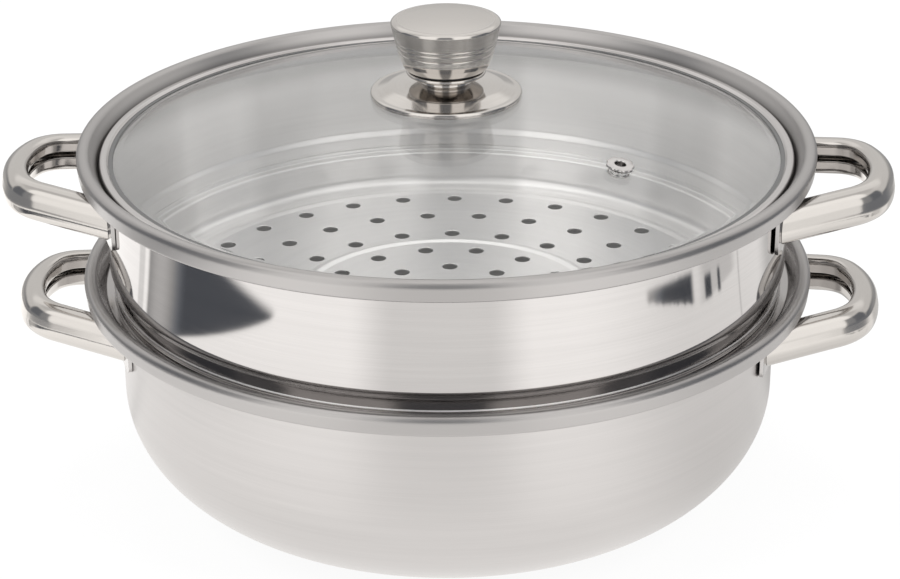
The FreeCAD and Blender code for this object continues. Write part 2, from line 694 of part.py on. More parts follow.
os.makedirs("parts", exist_ok=True)
for name, shape in pieces().items():
    shape.exportStep("parts/" + name + ".step")
    box = shape.BoundBox
    print(name, len(shape.Solids), "solid(s)", "valid" if shape.isValid() else "INVALID",
          "volume %.0f" % shape.Volume, "x %.2f %.2f y %.2f %.2f z %.2f %.2f"
          % (box.XMin, box.XMax, box.YMin, box.YMax, box.ZMin, box.ZMax))
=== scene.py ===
import math

import bpy
import numpy as np
from mathutils import Euler, Matrix, Vector
from mathutils.geometry import delaunay_2d_cdt


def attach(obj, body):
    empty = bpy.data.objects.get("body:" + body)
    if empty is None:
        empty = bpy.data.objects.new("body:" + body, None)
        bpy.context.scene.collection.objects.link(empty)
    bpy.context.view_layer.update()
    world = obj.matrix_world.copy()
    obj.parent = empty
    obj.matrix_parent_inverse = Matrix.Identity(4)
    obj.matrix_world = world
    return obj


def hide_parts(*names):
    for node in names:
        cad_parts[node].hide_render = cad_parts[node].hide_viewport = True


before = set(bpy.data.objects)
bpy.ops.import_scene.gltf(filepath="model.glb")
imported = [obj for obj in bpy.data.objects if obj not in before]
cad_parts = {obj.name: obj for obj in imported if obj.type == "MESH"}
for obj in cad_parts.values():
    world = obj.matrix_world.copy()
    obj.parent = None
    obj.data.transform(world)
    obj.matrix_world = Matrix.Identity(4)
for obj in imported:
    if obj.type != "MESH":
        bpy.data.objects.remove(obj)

# Two-tier steamer pot with a domed glass lid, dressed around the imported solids.
# Shapes are in millimetres up to the call that makes a mesh. Shaders and the stage use metres.

bl_info = {
    "name": "Two-tier steamer pot",
    "version": (1, 0, 0),
    "blender": (4, 5, 0),
    "location": "View3D > Sidebar > Steamer",
    "description": "Smooth steel, glass and silicone pieces for a steamer pot, with its studio",
    "category": "Object",
}

MM = 0.001

# ---- sizes of both tiers ----
SHEET = 0.8
LEDGE_DEPTH = 6.8
CHANNEL_SLOPE = math.radians(58)
LIP_WIDTH = 4.7
LIP_BAND = 8.0
BAND_LEAN = 0.9
HEM_WIDTH = 1.7
POT_WALL_R = 133.3
POT_CREST_Z = 98.0
POT_BASE_R = 72.0
POT_CORNER_RISE = 48.0
POT_MOUTH_R = POT_WALL_R - SHEET
CHANNEL_R = POT_MOUTH_R + 6.0
RIM_R = CHANNEL_R + LEDGE_DEPTH / math.tan(CHANNEL_SLOPE) + LIP_WIDTH
STEAMER_CREST_Z = 150.5
STEAMER_LEDGE_Z = STEAMER_CREST_Z - LEDGE_DEPTH
SEAT_Z = POT_CREST_Z - LEDGE_DEPTH + 0.1
UPPER_NECK_R = POT_MOUTH_R + 2.5
STEAMER_WALL_R = UPPER_NECK_R + 1.5
STEAMER_MOUTH_R = STEAMER_WALL_R - SHEET
NEST_R = POT_MOUTH_R - 1.5
BEAD_Z = SEAT_Z + 2.7
BEAD_HALF = 0.8
BEAD_PROUD = 0.45
SHOULDER_Z = SEAT_Z + 8.3
SHOULDER_TALL = 2.5

# ---- sizes of the tray's floor ----
FLOOR_Z = SEAT_Z - 14.5
FLOOR_PLATE_R = 116.5
HOLE_R = 3.25
HOLE_EASE = 0.15
FIRST_RING_R = 15.0
RING_SPAN = NEST_R - 19.5 - FIRST_RING_R
RING_SHARE = np.array([1.0, 0.7876, 0.5741, 0.3855, 0.1969, 0.0])
RIDGE_R = (FIRST_RING_R + RING_SPAN * 0.4922, NEST_R - 11.0)
RIDGE_HALF = 2.6
RIDGE_RISE = 0.7
RIDGE_BEND = 2.4
FLAT_BESIDE_RIDGE = (50, 75)
RINGS_BETWEEN_HOLES = (6, 24.5, 43, 57.5, 80.5, 101)

# ---- sizes of the handles and their plates ----
HANDLE_REACH = 37.4
HANDLE_END_R = 48.0
HANDLE_END_SWEEP = 22.0
HANDLE_CORNER_R = 18.0
HANDLE_FLANK_LEAN = 20.0
HANDLE_WIDE = 9.4
HANDLE_TALL = 15.0
HANDLE_SHEET = 1.0
HANDLE_SEAM = 2.4
HANDLE_LIP = 1.2
HANDLE_TILT = math.radians(6.5)
HANDLE_DROP = 22.0
STRAP_TOP_ROUND = 6.0
STRAP_LOW_ROUND = 4.6
STRAP_BACK_ROUND = 3.0
STRAP_SEAM_ROUND = 0.6
CREASE_OUT = 0.9
CREASE_DROP = 1.5
CREASE_ROUND = 8.0
PLATE_THICK = 1.5
PLATE_TALL = 18.0
PLATE_WIDE = 24.0
PLATE_ROUND = 3.0
PLATE_GAP = 0.1
PLATE_BEVEL = 0.35
TONGUE_LENGTH = 12.0
TONGUE_GAP = 0.15
TONGUE_SINK = 0.2
TONGUE_ROUND = 3.0
TONGUE_CREASE_ROUND = 2.8

# ---- sizes of the lid ----
CROWN_FOOT_Z = STEAMER_LEDGE_Z + 0.1
CROWN_R = CHANNEL_R - 0.3
CROWN_TOP_Z = CROWN_FOOT_Z + 2.2
CROWN_WIDE = 2.6
LEG_SHEET = 0.5
LEG_R = STEAMER_MOUTH_R - 0.6
LEG_IN_R = LEG_R - LEG_SHEET
LEG_FOOT_Z = STEAMER_LEDGE_Z - 4.3
LEG_LIP = 3.2
GLASS_R = LEG_IN_R - 0.7
GLASS_THICK = 4.0
GLASS_ROUND = 0.6
GLASS_BORE_R = 5.0
GLASS_EDGE_Z = STEAMER_LEDGE_Z + 0.9
DOME_RISE = 23.6
DOME_R = (GLASS_R ** 2 + DOME_RISE ** 2) / (2 * DOME_RISE)
DOME_CENTRE_Z = GLASS_EDGE_Z + DOME_RISE - DOME_R
SEAL_LAP = 0.9
VENT_R = 87.5
VENT_ANGLE = math.radians(-40)
VENT_HOLE_R = 3.6
VENT_BORE_R = 2.1
VENT_TUBE_R = 2.9
VENT_CRIMP_R = 4.2
VENT_CRIMP_Z = (-4.9, -4.1)
VENT_FLANGE_R = 5.6
VENT_FLANGE_Z = (0.6, 1.7)
VENT_FLANGE_DROP = 0.25
SCALLOP_FROM_R = 3.0

# ---- sizes of the knob ----
SKIRT_R = 30.15
SKIRT_SHEET = 0.8
SKIRT_FOOT_Z = DOME_CENTRE_Z + math.sqrt(DOME_R ** 2 - SKIRT_R ** 2) + 0.1
SKIRT_LAND_Z = SKIRT_FOOT_Z + 2.0
SKIRT_LAND_WIDE = 2.4
SKIRT_KNEE_R = 22.5
SKIRT_KNEE_Z = SKIRT_LAND_Z + 2.0
NECK_R = 9.8
NECK_FOOT_Z = SKIRT_LAND_Z + 3.6
NECK_TOP_Z = NECK_FOOT_Z + 1.9
FLARE_R = 15.8
FLARE_TOP_Z = NECK_TOP_Z + 3.0
FLARE_EDGE = 1.5
GASKET_R = FLARE_R - 0.9
BODY_FOOT_Z = FLARE_TOP_Z + 1.0
BODY_TOP_Z = BODY_FOOT_Z + 18.0
BODY_TOP_R = 21.8
BODY_FOOT_R = 16.4
BODY_BEND_R = 18.4
BODY_BEND_Z = BODY_FOOT_Z + 3.2
BODY_BEND = 18.4
BODY_SHEET = 0.9
GROOVES = (7.7, 10.2, 12.0)
GROOVE_HALF = 0.22
INSERT_R = 6.0
CAP_EDGE = 1.2
CAP_DOME = 1.8
CAP_ROUND_WIDE = 2.3
SPIGOT_R = 19.9
SPIGOT_IN_R = 19.1
SPIGOT_DEPTH = 4.0

# ---- the room that steel and glass reflect, in millimetres ----
ROOM_R = 1500
ROOM_FLOOR_Z = -2
ROOM_TOP_Z = 1900

# ---- the floor, the lamps (name, place, size) and the camera, in metres and degrees ----
FLOOR_HALF = 6.0
LAMPS = (
    ("LampLeft", (-0.9, -0.5, 0.9), 0.7),
    ("LampRight", (0.9, -0.5, 0.9), 0.7),
    ("LampTop", (0.0, 0.2, 1.2), 0.9),
)
LAMP_AIM = (0.0, 0.0, 0.1)
CAMERA_PLACE = (0.0294, -0.9350, 0.5038)
CAMERA_DOWN = 24.28
CAMERA_TURN = 1.8
CAMERA_ROLL = -0.35
CAMERA_SHIFT = 0.0028


# ---- lines and grids ----
def unit(vector):
    """The vector divided by its length."""
    return vector / np.hypot(*vector)


def left_of(run):
    """A run turned a quarter turn to the left, as a unit vector."""
    return unit(np.array([-run[1], run[0]]))


def bent(corners, closed=False, arc_step=9.0, run_step=6.0, guard=0.25):
    """Points of a bent line, and the unit vectors to its left at those points.

    A corner is (across, up, bend). Straight runs are joined by tangent arcs: where the line turns by
    the angle t, an arc of radius b starts b * tan(t / 2) before the corner and its points are
    centre - b * side(t), with side the left vector turned by 0 to t. Each run has a point a guard
    length from both its ends, so that it stays flat up to the bend under smooth shading.
    """
    spots = [np.array(corner[:2], float) for corner in corners]
    last = len(spots) - 1
    arcs = []
    for i, spot in enumerate(spots):
        if not closed and i in (0, last):
            run = spots[1] - spots[0] if i == 0 else spots[last] - spots[last - 1]
            arcs.append((spot[None], left_of(run)[None]))
            continue
        into = unit(spot - spots[i - 1])
        out = unit(spots[(i + 1) % len(spots)] - spot)
        turn = math.atan2(into[0] * out[1] - into[1] * out[0], into @ out)
        bend = corners[i][2]
        if bend == 0:
            side = unit(left_of(into) + left_of(out)) / math.cos(turn / 2)
            arcs.append((spot[None], side[None]))
            continue
        steps = max(2, math.ceil(abs(math.degrees(turn)) / arc_step))
        angle = np.linspace(0, turn, steps + 1)
        side = left_of(into)
        sides = np.stack([side[0] * np.cos(angle) - side[1] * np.sin(angle),
                          side[0] * np.sin(angle) + side[1] * np.cos(angle)], 1)
        start = spot - into * bend * math.tan(abs(turn) / 2)
        signed = math.copysign(bend, turn)
        arcs.append((start + signed * side - signed * sides, sides))
    points = []
    sides = []
    for i, (arc_points, arc_sides) in enumerate(arcs):
        points.append(arc_points)
        sides.append(arc_sides)
        if i == last and not closed:
            break
        start = arc_points[-1]
        run = arcs[(i + 1) % len(arcs)][0][0] - start
        length = np.hypot(*run)
        if length < 3 * guard:
            continue
        inner = np.linspace(guard, length - guard, max(2, math.ceil(length / run_step) + 1)) / length
        points.append(start + inner[:, None] * run)
        sides.append(np.repeat(left_of(run)[None], len(inner), 0))
    return np.vstack(points), np.vstack(sides)


def sheet(corners, thickness, **steps):
    """Outline of a bent sheet: its left face forwards, then the same line moved right, backwards."""
    points, sides = bent(corners, **steps)
    return np.vstack([points, (points - sides * thickness)[::-1]])


def welded(points, faces):
    """Points that coincide to 0.1 micrometre become one, and faces lose the corners that they repeat."""
    keys = np.round(points * 1e4).astype(np.int64)
    _, first, new = np.unique(keys, axis=0, return_index=True, return_inverse=True)
    new = new.ravel()
    kept = []
    for face in faces:
        corners = new[np.asarray(face)]
        same = corners == np.roll(corners, 1, axis=1)
        whole = ~same.any(axis=1)
        kept.append(corners[whole])
        for row, gaps in zip(corners[~whole], same[~whole]):
            if gaps.sum() == 1 and len(row) == 4:
                kept.append(row[~gaps][None])
    return points[first], kept


def volume(points, faces):
    """Signed volume: a sixth of the sum over fan triangles of a . (b x c)."""
    total = 0.0
    for face in faces:
        for k in range(1, face.shape[1] - 1):
            a, b, c = points[face[:, 0]], points[face[:, k]], points[face[:, k + 1]]
            total += np.einsum("ij,ij->i", a, np.cross(b, c)).sum() / 6
    return total


def facing(points, walls, out, axis=(0.0, 0.0)):
    """Walls turned so that they face away from an upright axis for out = 1, and towards it for -1."""
    a, b, c = (points[walls[0, k]] for k in range(3))
    normal = np.cross(b - a, c - a)[:2]
    return walls if (normal @ (a[:2] - axis)) * out > 0 else walls[:, ::-1]


def facing_up(plan, net):
    """A net of triangles in plan, turned so that the sum of (b - a) x (c - a) is above 0."""
    a, b, c = (plan[net[:, k]] for k in range(3))
    return net if np.cross(b - a, c - a).sum() > 0 else net[:, ::-1]


def add_object(name, data):
    """A new object with this data, linked to the scene."""
    made = bpy.data.objects.new(name, data)
    bpy.context.scene.collection.objects.link(made)
    return made


def make_piece(name, points, faces, body, material, nodes, slot, sharp=35.0):
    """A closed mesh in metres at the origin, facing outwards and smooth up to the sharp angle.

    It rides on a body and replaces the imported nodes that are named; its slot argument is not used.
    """
    points, faces = welded(points, faces)
    if volume(points, faces) < 0:
        faces = [face[:, ::-1] for face in faces]
    mesh = bpy.data.meshes.new(name)
    mesh.from_pydata((points * MM).tolist(), [], [row for face in faces for row in face.tolist()])
    mesh.validate()
    mesh.polygons.foreach_set("use_smooth", np.ones(len(mesh.polygons), bool))
    mesh.set_sharp_from_angle(angle=math.radians(sharp))
    mesh.materials.append(bpy.data.materials[material])
    piece = add_object(name, mesh)
    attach(piece, body)
    if nodes:
        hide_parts(*nodes)
    return piece


def grid_faces(rows, columns, loop_rows, loop_columns):
    """Quads of a grid of points numbered row by row; a loop joins the last row or column to the first."""
    i = np.arange(rows if loop_rows else rows - 1)[:, None]
    j = np.arange(columns if loop_columns else columns - 1)[None]
    k = (i + 1) % rows
    m = (j + 1) % columns
    return np.stack([i * columns + j, k * columns + j, k * columns + m, i * columns + m], -1).reshape(-1, 4)


def lathe(outline, count, closed=True):
    """An outline of (radius, height) turned about Z: x = r cos(a), y = r sin(a), for count even angles a."""
    angle = np.linspace(0, 2 * np.pi, count, endpoint=False)
    radius, height = outline[:, 0][:, None], outline[:, 1][:, None]
    points = np.stack([radius * np.cos(angle), radius * np.sin(angle), height + 0 * angle], -1)
    return points.reshape(-1, 3), [grid_faces(len(outline), count, closed, True)]


def turn_piece(name, outline, count, *look, closed=True, sharp=35.0):
    """A piece turned from an outline; look is its body, material, replaced nodes and slot."""
    points, faces = lathe(outline, count, closed)
    make_piece(name, points, faces, *look, sharp)


def circle(count):
    """Unit vectors (cos a, sin a) at count even angles a."""
    angle = np.linspace(0, 2 * np.pi, count, endpoint=False)
    return np.stack([np.cos(angle), np.sin(angle)], -1)


def outside_holes(plan, holes, share):
    """True for the plan points that lie further than share * radius from the centre of every hole."""
    outside = np.ones(len(plan), bool)
    for x, y, radius in holes:
        outside &= np.hypot(plan[:, 0] - x, plan[:, 1] - y) > radius * share
    return outside


def holed_plate(rings, holes, count, hole_steps, keep_rings=True):
    """A flat round plate with round holes, as triangles between concentric rings of points.

    rings are radii from the innermost to the rim; holes are rows of (x, y, radius). Returns the plan
    points, the triangles, and the numbers of the points round each hole. A ring's points are
    (r cos(a), r sin(a)); a Delaunay net joins them, and triangles whose middle lies in a hole go. With
    keep_rings the net has every ring as edges. Without it, ring points beside a hole are left out.
    """
    ring_points = (np.array(rings)[:, None, None] * circle(count)).reshape(-1, 2)
    hole_points = holes[:, None, :2] + holes[:, None, 2:] * circle(hole_steps)
    ring_edges = np.arange(len(rings) * count).reshape(-1, count)
    if not keep_rings:
        ring_points = ring_points[outside_holes(ring_points, holes, 1.15)]
        ring_edges = ring_edges[:0]
    hole_edges = len(ring_points) + np.arange(len(holes) * hole_steps).reshape(-1, hole_steps)
    plan = np.vstack([ring_points, hole_points.reshape(-1, 2)])
    edges = []
    for loops in (ring_edges, hole_edges):
        edges += np.stack([loops, np.roll(loops, -1, 1)], -1).reshape(-1, 2).tolist()
    net = delaunay_2d_cdt([tuple(p) for p in plan], edges, [], 0, 1e-7)
    if len(net[0]) != len(plan):
        raise RuntimeError("the plate's net has points that were not asked for")
    order = np.array([source[0] for source in net[3]])
    triangles = order[np.array(net[2])]
    return plan, triangles[outside_holes(plan[triangles].mean(1), holes, 0.999)], hole_edges


def loop_walls(loops):
    """Quads between a stack of closed loops of point numbers, each loop an array of the same length."""
    return np.vstack([np.stack([a, np.roll(a, -1), np.roll(b, -1), b], -1) for a, b in zip(loops, loops[1:])])


# ---- shapes of the shells ----
def rim_corners(mouth_r, crest_z):
    """Inner face of a wall's top: up the wall, out along the ledge, up the channel, over the lip to the hem.

    The lip's two bends are almost as large as the width between them allows.
    """
    ledge_z = crest_z - LEDGE_DEPTH
    lean = math.atan2(BAND_LEAN, LIP_BAND)
    lip_bend = LIP_WIDTH / (math.tan(CHANNEL_SLOPE / 2) + math.tan((math.pi / 2 + lean) / 2)) * 0.99
    return [
        (mouth_r, ledge_z, 1.0),
        (CHANNEL_R, ledge_z, 0.8),
        (RIM_R - LIP_WIDTH, crest_z, lip_bend),
        (RIM_R, crest_z, lip_bend),
        (RIM_R - BAND_LEAN, crest_z - LIP_BAND, 1.1),
        (RIM_R - BAND_LEAN - HEM_WIDTH, crest_z - LIP_BAND, 0),
    ]


def pot_base(inset):
    """Flat base and elliptical corner, inset from the outer face.

    The corner runs (R + a sin t, h - b cos t) for t from 0 to 90 degrees.
    """
    t = np.radians(np.linspace(0, 90, 46))
    corner = np.stack([POT_BASE_R + (POT_WALL_R - POT_BASE_R - inset) * np.sin(t),
                       POT_CORNER_RISE - (POT_CORNER_RISE - inset) * np.cos(t)], 1)
    flat = np.stack([np.linspace(0, POT_BASE_R - 0.5, 14), np.full(14, inset)], 1)
    return np.vstack([flat, corner])


def ridge_corners(middle_r):
    """A low rounded ridge in the tray's floor."""
    return [
        (middle_r - RIDGE_HALF, FLOOR_Z, RIDGE_BEND),
        (middle_r, FLOOR_Z + RIDGE_RISE, RIDGE_BEND),
        (middle_r + RIDGE_HALF, FLOOR_Z, RIDGE_BEND),
    ]


def tray_wall_corners():
    """Inner face of the tray from its floor plate out over the outer ridge, and up to the hem."""
    nest_in_r = NEST_R - SHEET
    neck_in_r = UPPER_NECK_R - SHEET
    return [(FLOOR_PLATE_R, FLOOR_Z, 0)] + ridge_corners(RIDGE_R[1]) + [
        (nest_in_r, FLOOR_Z, 5.0),
        (nest_in_r, SEAT_Z + SHEET, 1.2),
        (neck_in_r, SEAT_Z + SHEET, 0.8),
        (neck_in_r, BEAD_Z - BEAD_HALF, 0.5),
        (neck_in_r + BEAD_PROUD, BEAD_Z, 0.5),
        (neck_in_r, BEAD_Z + BEAD_HALF, 0.5),
        (neck_in_r, SHOULDER_Z, 1.8),
        (STEAMER_MOUTH_R, SHOULDER_Z + SHOULDER_TALL, 1.8),
    ] + rim_corners(STEAMER_MOUTH_R, STEAMER_CREST_Z)


def tray_holes(radius):
    """Rows of (x, y, radius): rings of 30, 25, 20, 15, 10 and 5 holes, every other one turned half a pitch."""
    rows = []
    for step, share in enumerate(RING_SHARE):
        count = 5 * (len(RING_SHARE) - step)
        ring_r = FIRST_RING_R + RING_SPAN * share
        angle = np.radians(90 + (step % 2) * 180 / count + 360 * np.arange(count) / count)
        rows.append(np.stack([ring_r * np.cos(angle), ring_r * np.sin(angle), np.full(count, radius)], 1))
    return np.vstack(rows)


def glass_height(radius, depth=0.0):
    """Height on the sphere of the glass, depth below its top face."""
    return DOME_CENTRE_Z + np.sqrt((DOME_R - depth) ** 2 - radius ** 2)


def at_vent(points):
    """Points about the Z axis stood on the glass at the vent, square to the dome."""
    lean = math.asin(VENT_R / DOME_R)
    place = Matrix.Rotation(VENT_ANGLE, 3, "Z") @ Matrix.Rotation(lean, 3, "Y")
    return (points + [0, 0, DOME_R]) @ np.array(place).T + [0, 0, DOME_CENTRE_Z]


# ---- shapes of the handles ----
def strap_corners():
    """Outer face of the rolled strap, from one lip at the open seam round to the other."""
    wide, tall, seam = HANDLE_WIDE / 2, HANDLE_TALL / 2, HANDLE_SEAM / 2
    tip = -wide + HANDLE_SHEET + HANDLE_LIP
    return [
        (tip, seam, 0),
        (-wide, seam, STRAP_SEAM_ROUND),
        (-wide, tall, STRAP_BACK_ROUND),
        (wide, tall, STRAP_TOP_ROUND),
        (wide + CREASE_OUT, -CREASE_DROP, CREASE_ROUND),
        (wide, -tall, STRAP_LOW_ROUND),
        (-wide, -tall, STRAP_BACK_ROUND),
        (-wide, -seam, STRAP_SEAM_ROUND),
        (tip, -seam, 0),
    ]


def tongue_corners():
    """Core that fills the hollow strap's end, clear of its lips."""
    inset = HANDLE_SHEET + TONGUE_GAP
    wide, tall = HANDLE_WIDE / 2 - inset, HANDLE_TALL / 2 - inset
    back = -HANDLE_WIDE / 2 + HANDLE_SHEET + HANDLE_LIP + TONGUE_GAP
    return [
        (back, tall, 0),
        (wide, tall, TONGUE_ROUND),
        (wide + CREASE_OUT, -CREASE_DROP, TONGUE_CREASE_ROUND),
        (wide, -tall, TONGUE_ROUND),
        (back, -tall, 0),
    ]


def raised(points, wall_r, foot_z):
    """Handle points tilted up about the wall's tangent and set at their height."""
    x, z = points[..., 0] - wall_r, points[..., 2]
    cosine, sine = math.cos(HANDLE_TILT), math.sin(HANDLE_TILT)
    return np.stack([wall_r + x * cosine - z * sine, points[..., 1], foot_z + x * sine + z * cosine], -1)


def to_drum(start, way, radius):
    """Points where lines p + t w first meet a drum: the smaller root t of |p + t w| = radius in plan."""
    a = way[0] ** 2 + way[1] ** 2
    b = start[:, 0] * way[0] + start[:, 1] * way[1]
    c = start[:, 0] ** 2 + start[:, 1] ** 2 - radius ** 2
    t = (-b - np.sqrt(b * b - a * c)) / a
    return start + t[:, None] * way


def flank_start(section, wall_r, foot_z):
    """The section stood where the corner ends, and the way of the straight run to the wall, both raised."""
    sweep, flank = math.radians(HANDLE_END_SWEEP), math.radians(90 - HANDLE_FLANK_LEAN)
    middle = wall_r + HANDLE_REACH - HANDLE_END_R
    shift = HANDLE_END_R - HANDLE_CORNER_R
    centre = np.array([middle, 0]) + shift * np.array([math.cos(sweep), math.sin(sweep)])
    away = np.array([math.cos(flank), math.sin(flank)])
    plan = centre + (HANDLE_CORNER_R + section[:, :1]) * away
    foot = np.array([wall_r, 0, 0.0])
    run = np.array([-math.sin(flank), math.cos(flank), 0])
    way = raised(run + foot, wall_r, foot_z) - raised(foot, wall_r, foot_z)
    return raised(np.column_stack([plan, section[:, 1]]), wall_r, foot_z), way


def handle_rings(section, wall_r, foot_z):
    """Rings of points of the strap's section along the handle, from one wall end round the grip to the other.

    In plan the path is an arc of the grip radius about the grip centre for angles up to the sweep, then
    an arc of the corner radius tangent to it up to the flank's angle, then a straight run to a drum
    round the wall. A point of the section is path centre + (arc radius + across) * (cos a, sin a).
    """
    sweep, flank = HANDLE_END_SWEEP, 90 - HANDLE_FLANK_LEAN
    angle = np.radians(np.concatenate([np.linspace(0, sweep, 12), np.linspace(sweep, flank, 17)[1:]]))
    middle = wall_r + HANDLE_REACH - HANDLE_END_R
    corner = np.radians(sweep)
    past_corner = angle > corner + 1e-9
    shift = (HANDLE_END_R - HANDLE_CORNER_R) * past_corner
    arc_r = np.where(past_corner, HANDLE_CORNER_R, HANDLE_END_R)
    centre = np.stack([middle + shift * math.cos(corner), shift * math.sin(corner)], 1)
    away = np.stack([np.cos(angle), np.sin(angle)], 1)
    plan = centre[:, None] + (arc_r[:, None] + section[:, 0])[..., None] * away[:, None]
    rise = np.broadcast_to(section[:, 1], plan.shape[:2])
    half = raised(np.concatenate([plan, rise[..., None]], -1), wall_r, foot_z)
    start, way = flank_start(section, wall_r, foot_z)
    end = to_drum(start, way, wall_r + PLATE_THICK + PLATE_GAP)
    share = np.array([0.03, 0.2, 0.4, 0.6, 0.8, 0.97, 1.0])[:, None, None]
    half = np.concatenate([half, start + share * (end - start)])
    mirrored = half[:0:-1] * [1, -1, 1]
    return np.concatenate([mirrored, half])


def strap_faces(count, around):
    """Faces of count rings with around points each: the skin, and quads across the sheet at both ends."""
    low = np.arange(around // 2 - 1)
    cap = np.stack([low, low + 1, around - 2 - low, around - 1 - low], -1)
    return [grid_faces(count, around, False, True), cap[:, ::-1], cap + (count - 1) * around]


def plate_grid():
    """Grid over a plate's rounded outline: distances s across, and heights v * h(s) with h the half height."""
    turn = np.radians(np.linspace(0, 90, 7))
    flat = PLATE_WIDE / 2 - PLATE_ROUND
    ends = flat + PLATE_ROUND * np.sin(turn)
    across = np.concatenate([-ends[::-1], np.linspace(-flat, flat, 13)[1:-1], ends])
    over = np.clip(np.abs(across) - flat, 0, PLATE_ROUND)
    half_height = PLATE_TALL / 2 - PLATE_ROUND + np.sqrt(PLATE_ROUND ** 2 - over ** 2)
    return across, np.linspace(-1, 1, 9)[:, None] * half_height


# ---- shader maths ----
class Signal:
    """A node's output. a + b, a - b, a * b, a / b and abs(a) add Math nodes, and a | b is the larger one."""

    def __init__(self, paint, socket):
        self.paint = paint
        self.socket = socket

    def math(self, operation, *others):
        """A Math node of this operation, with this signal first."""
        return self.paint.read("ShaderNodeMath", {"operation": operation}, [self, *others])

    def __add__(self, other):
        return self.math("ADD", other)

    def __sub__(self, other):
        return self.math("SUBTRACT", other)

    def __rsub__(self, other):
        return self.paint.read("ShaderNodeMath", {"operation": "SUBTRACT"}, [other, self])

    def __mul__(self, other):
        return self.math("MULTIPLY", other)

    def __truediv__(self, other):
        return self.math("DIVIDE", other)

    def __or__(self, other):
        return self.math("MAXIMUM", other)

    def __abs__(self):
        return self.math("ABSOLUTE")

    __radd__ = __add__
    __rmul__ = __mul__


class Paint:
    """A node tree being built: one method adds any node, with its settings first and its sockets after."""

    def __init__(self, tree):
        self.tree = tree
        tree.nodes.clear()

    def node(self, kind, settings=None, inputs=()):
        """A new node. A signal among its inputs is linked, and any other value is set on the socket."""
        made = self.tree.nodes.new(kind)
        for name, value in (settings or {}).items():
            setattr(made, name, value)
        pairs = inputs.items() if isinstance(inputs, dict) else enumerate(inputs)
        for key, value in pairs:
            if isinstance(value, Signal):
                self.tree.links.new(value.socket, made.inputs[key])
            else:
                made.inputs[key].default_value = value
        return made

    def read(self, kind, settings=None, inputs=(), output=0):
        """One output of a new node, as a signal."""
        return Signal(self, self.node(kind, settings, inputs).outputs[output])

    def place(self):
        """Object coordinates, in metres."""
        return self.read("ShaderNodeTexCoord", output="Object")

    def split(self):
        """Object coordinates as the signals x, y and z."""
        parts = self.node("ShaderNodeSeparateXYZ", None, [self.place()])
        return [Signal(self, parts.outputs[k]) for k in range(3)]

    def round_axis(self):
        """Object coordinates about the Z axis: x / r, y / r, the radius r and z."""
        x, y, z = self.split()
        radius = (x * x + y * y + 1e-8).math("SQRT")
        return x / radius, y / radius, radius, z

    def ray(self, kind):
        """1 for rays of this kind, such as Is Camera Ray, and 0 for others."""
        return self.read("ShaderNodeLightPath", output=kind)

    def step(self, value, low, high, start=0.0, end=1.0):
        """Smooth step from start to end as the value goes from low to high."""
        smooth = {"interpolation_type": "SMOOTHSTEP"}
        return self.read("ShaderNodeMapRange", smooth, [value, low, high, start, end])

    def fall(self, value, low, high):
        """Smooth step from 1 to 0 as the value goes from low to high."""
        return self.step(value, low, high, 1.0, 0.0)

    def band(self, value, low, high, soft):
        """1 from low to high and 0 outside, with soft ends."""
        return self.step(value, low - soft, low + soft) * self.fall(value, high - soft, high + soft)

    def noise(self, vector, scale, detail=2.0, rough=0.5):
        """Smooth random values from 0 to 1."""
        return self.read("ShaderNodeTexNoise", None,
                         {"Vector": vector, "Scale": scale, "Detail": detail, "Roughness": rough})

    def join(self, x, y, z):
        """A vector of three signals or numbers."""
        return self.read("ShaderNodeCombineXYZ", None, [x, y, z])

    def colour(self, factor, low, high):
        """Mix of two colours by a factor."""
        return self.read("ShaderNodeMix", {"data_type": "RGBA"}, {0: factor, 6: low, 7: high}, 2)

    def bump(self, height, strength, distance):
        """Normals of a surface with this height, distance metres high in all."""
        return self.read("ShaderNodeBump", None, {"Strength": strength, "Distance": distance, "Height": height})

    def surface(self, shader):
        """Puts a shader on the material's output."""
        self.node("ShaderNodeOutputMaterial", None, {"Surface": shader})

    def principled(self, sockets):
        """A Principled shader with these sockets."""
        return self.read("ShaderNodeBsdfPrincipled", None, sockets)

    def metal(self, colour, rough, normal, metallic=1.0):
        """Makes the whole surface metal."""
        self.surface(self.principled({
            "Base Color": colour, "Metallic": metallic, "Roughness": rough, "Normal": normal}))


def new_paint(name):
    """The empty node tree of a new material."""
    material = bpy.data.materials.new(name)
    material.use_nodes = True
    return Paint(material.node_tree)


def rgb(colour, share=1.0):
    """A colour times share, no brighter than white, with its alpha."""
    return (*(min(1.0, channel * share) for channel in colour), 1.0)


# ---- finishes ----
# Painted shade and painted reflection bands on the shells mix towards this black.
BLACK = (0.0, 0.0, 0.0, 1.0)
FINE_RELIEF = 0.2 * MM
WAVE_RELIEF = 2 * MM


def turned_lines(paint, axis, around, across):
    """Noise stretched round the axis: it reads (x / r, y / r) * around and (r + z) * across."""
    cosine, sine, radius, z = axis
    return paint.noise(paint.join(cosine * around, sine * around, (radius + z) * across), 1.0, 3.0, 0.6)


def steel(name, colour, roughness, lines, bump, shade=0.06, spread=0.05):
    """Polished or brushed steel with fine lines turned round the axis: they vary gloss, shade and relief."""
    paint = new_paint(name)
    axis = paint.round_axis()
    fine = turned_lines(paint, axis, *lines)
    wide = turned_lines(paint, axis, lines[0] * 0.4, lines[1] * 0.12)
    mixed = fine * 0.6 + wide * 0.4
    tone = paint.colour(paint.step(mixed, 0.25, 0.75), rgb(colour, 1 - shade), rgb(colour, 1 + shade))
    rough = mixed * (2 * spread) + (roughness - spread)
    paint.metal(tone, rough, paint.bump(mixed, bump, FINE_RELIEF))


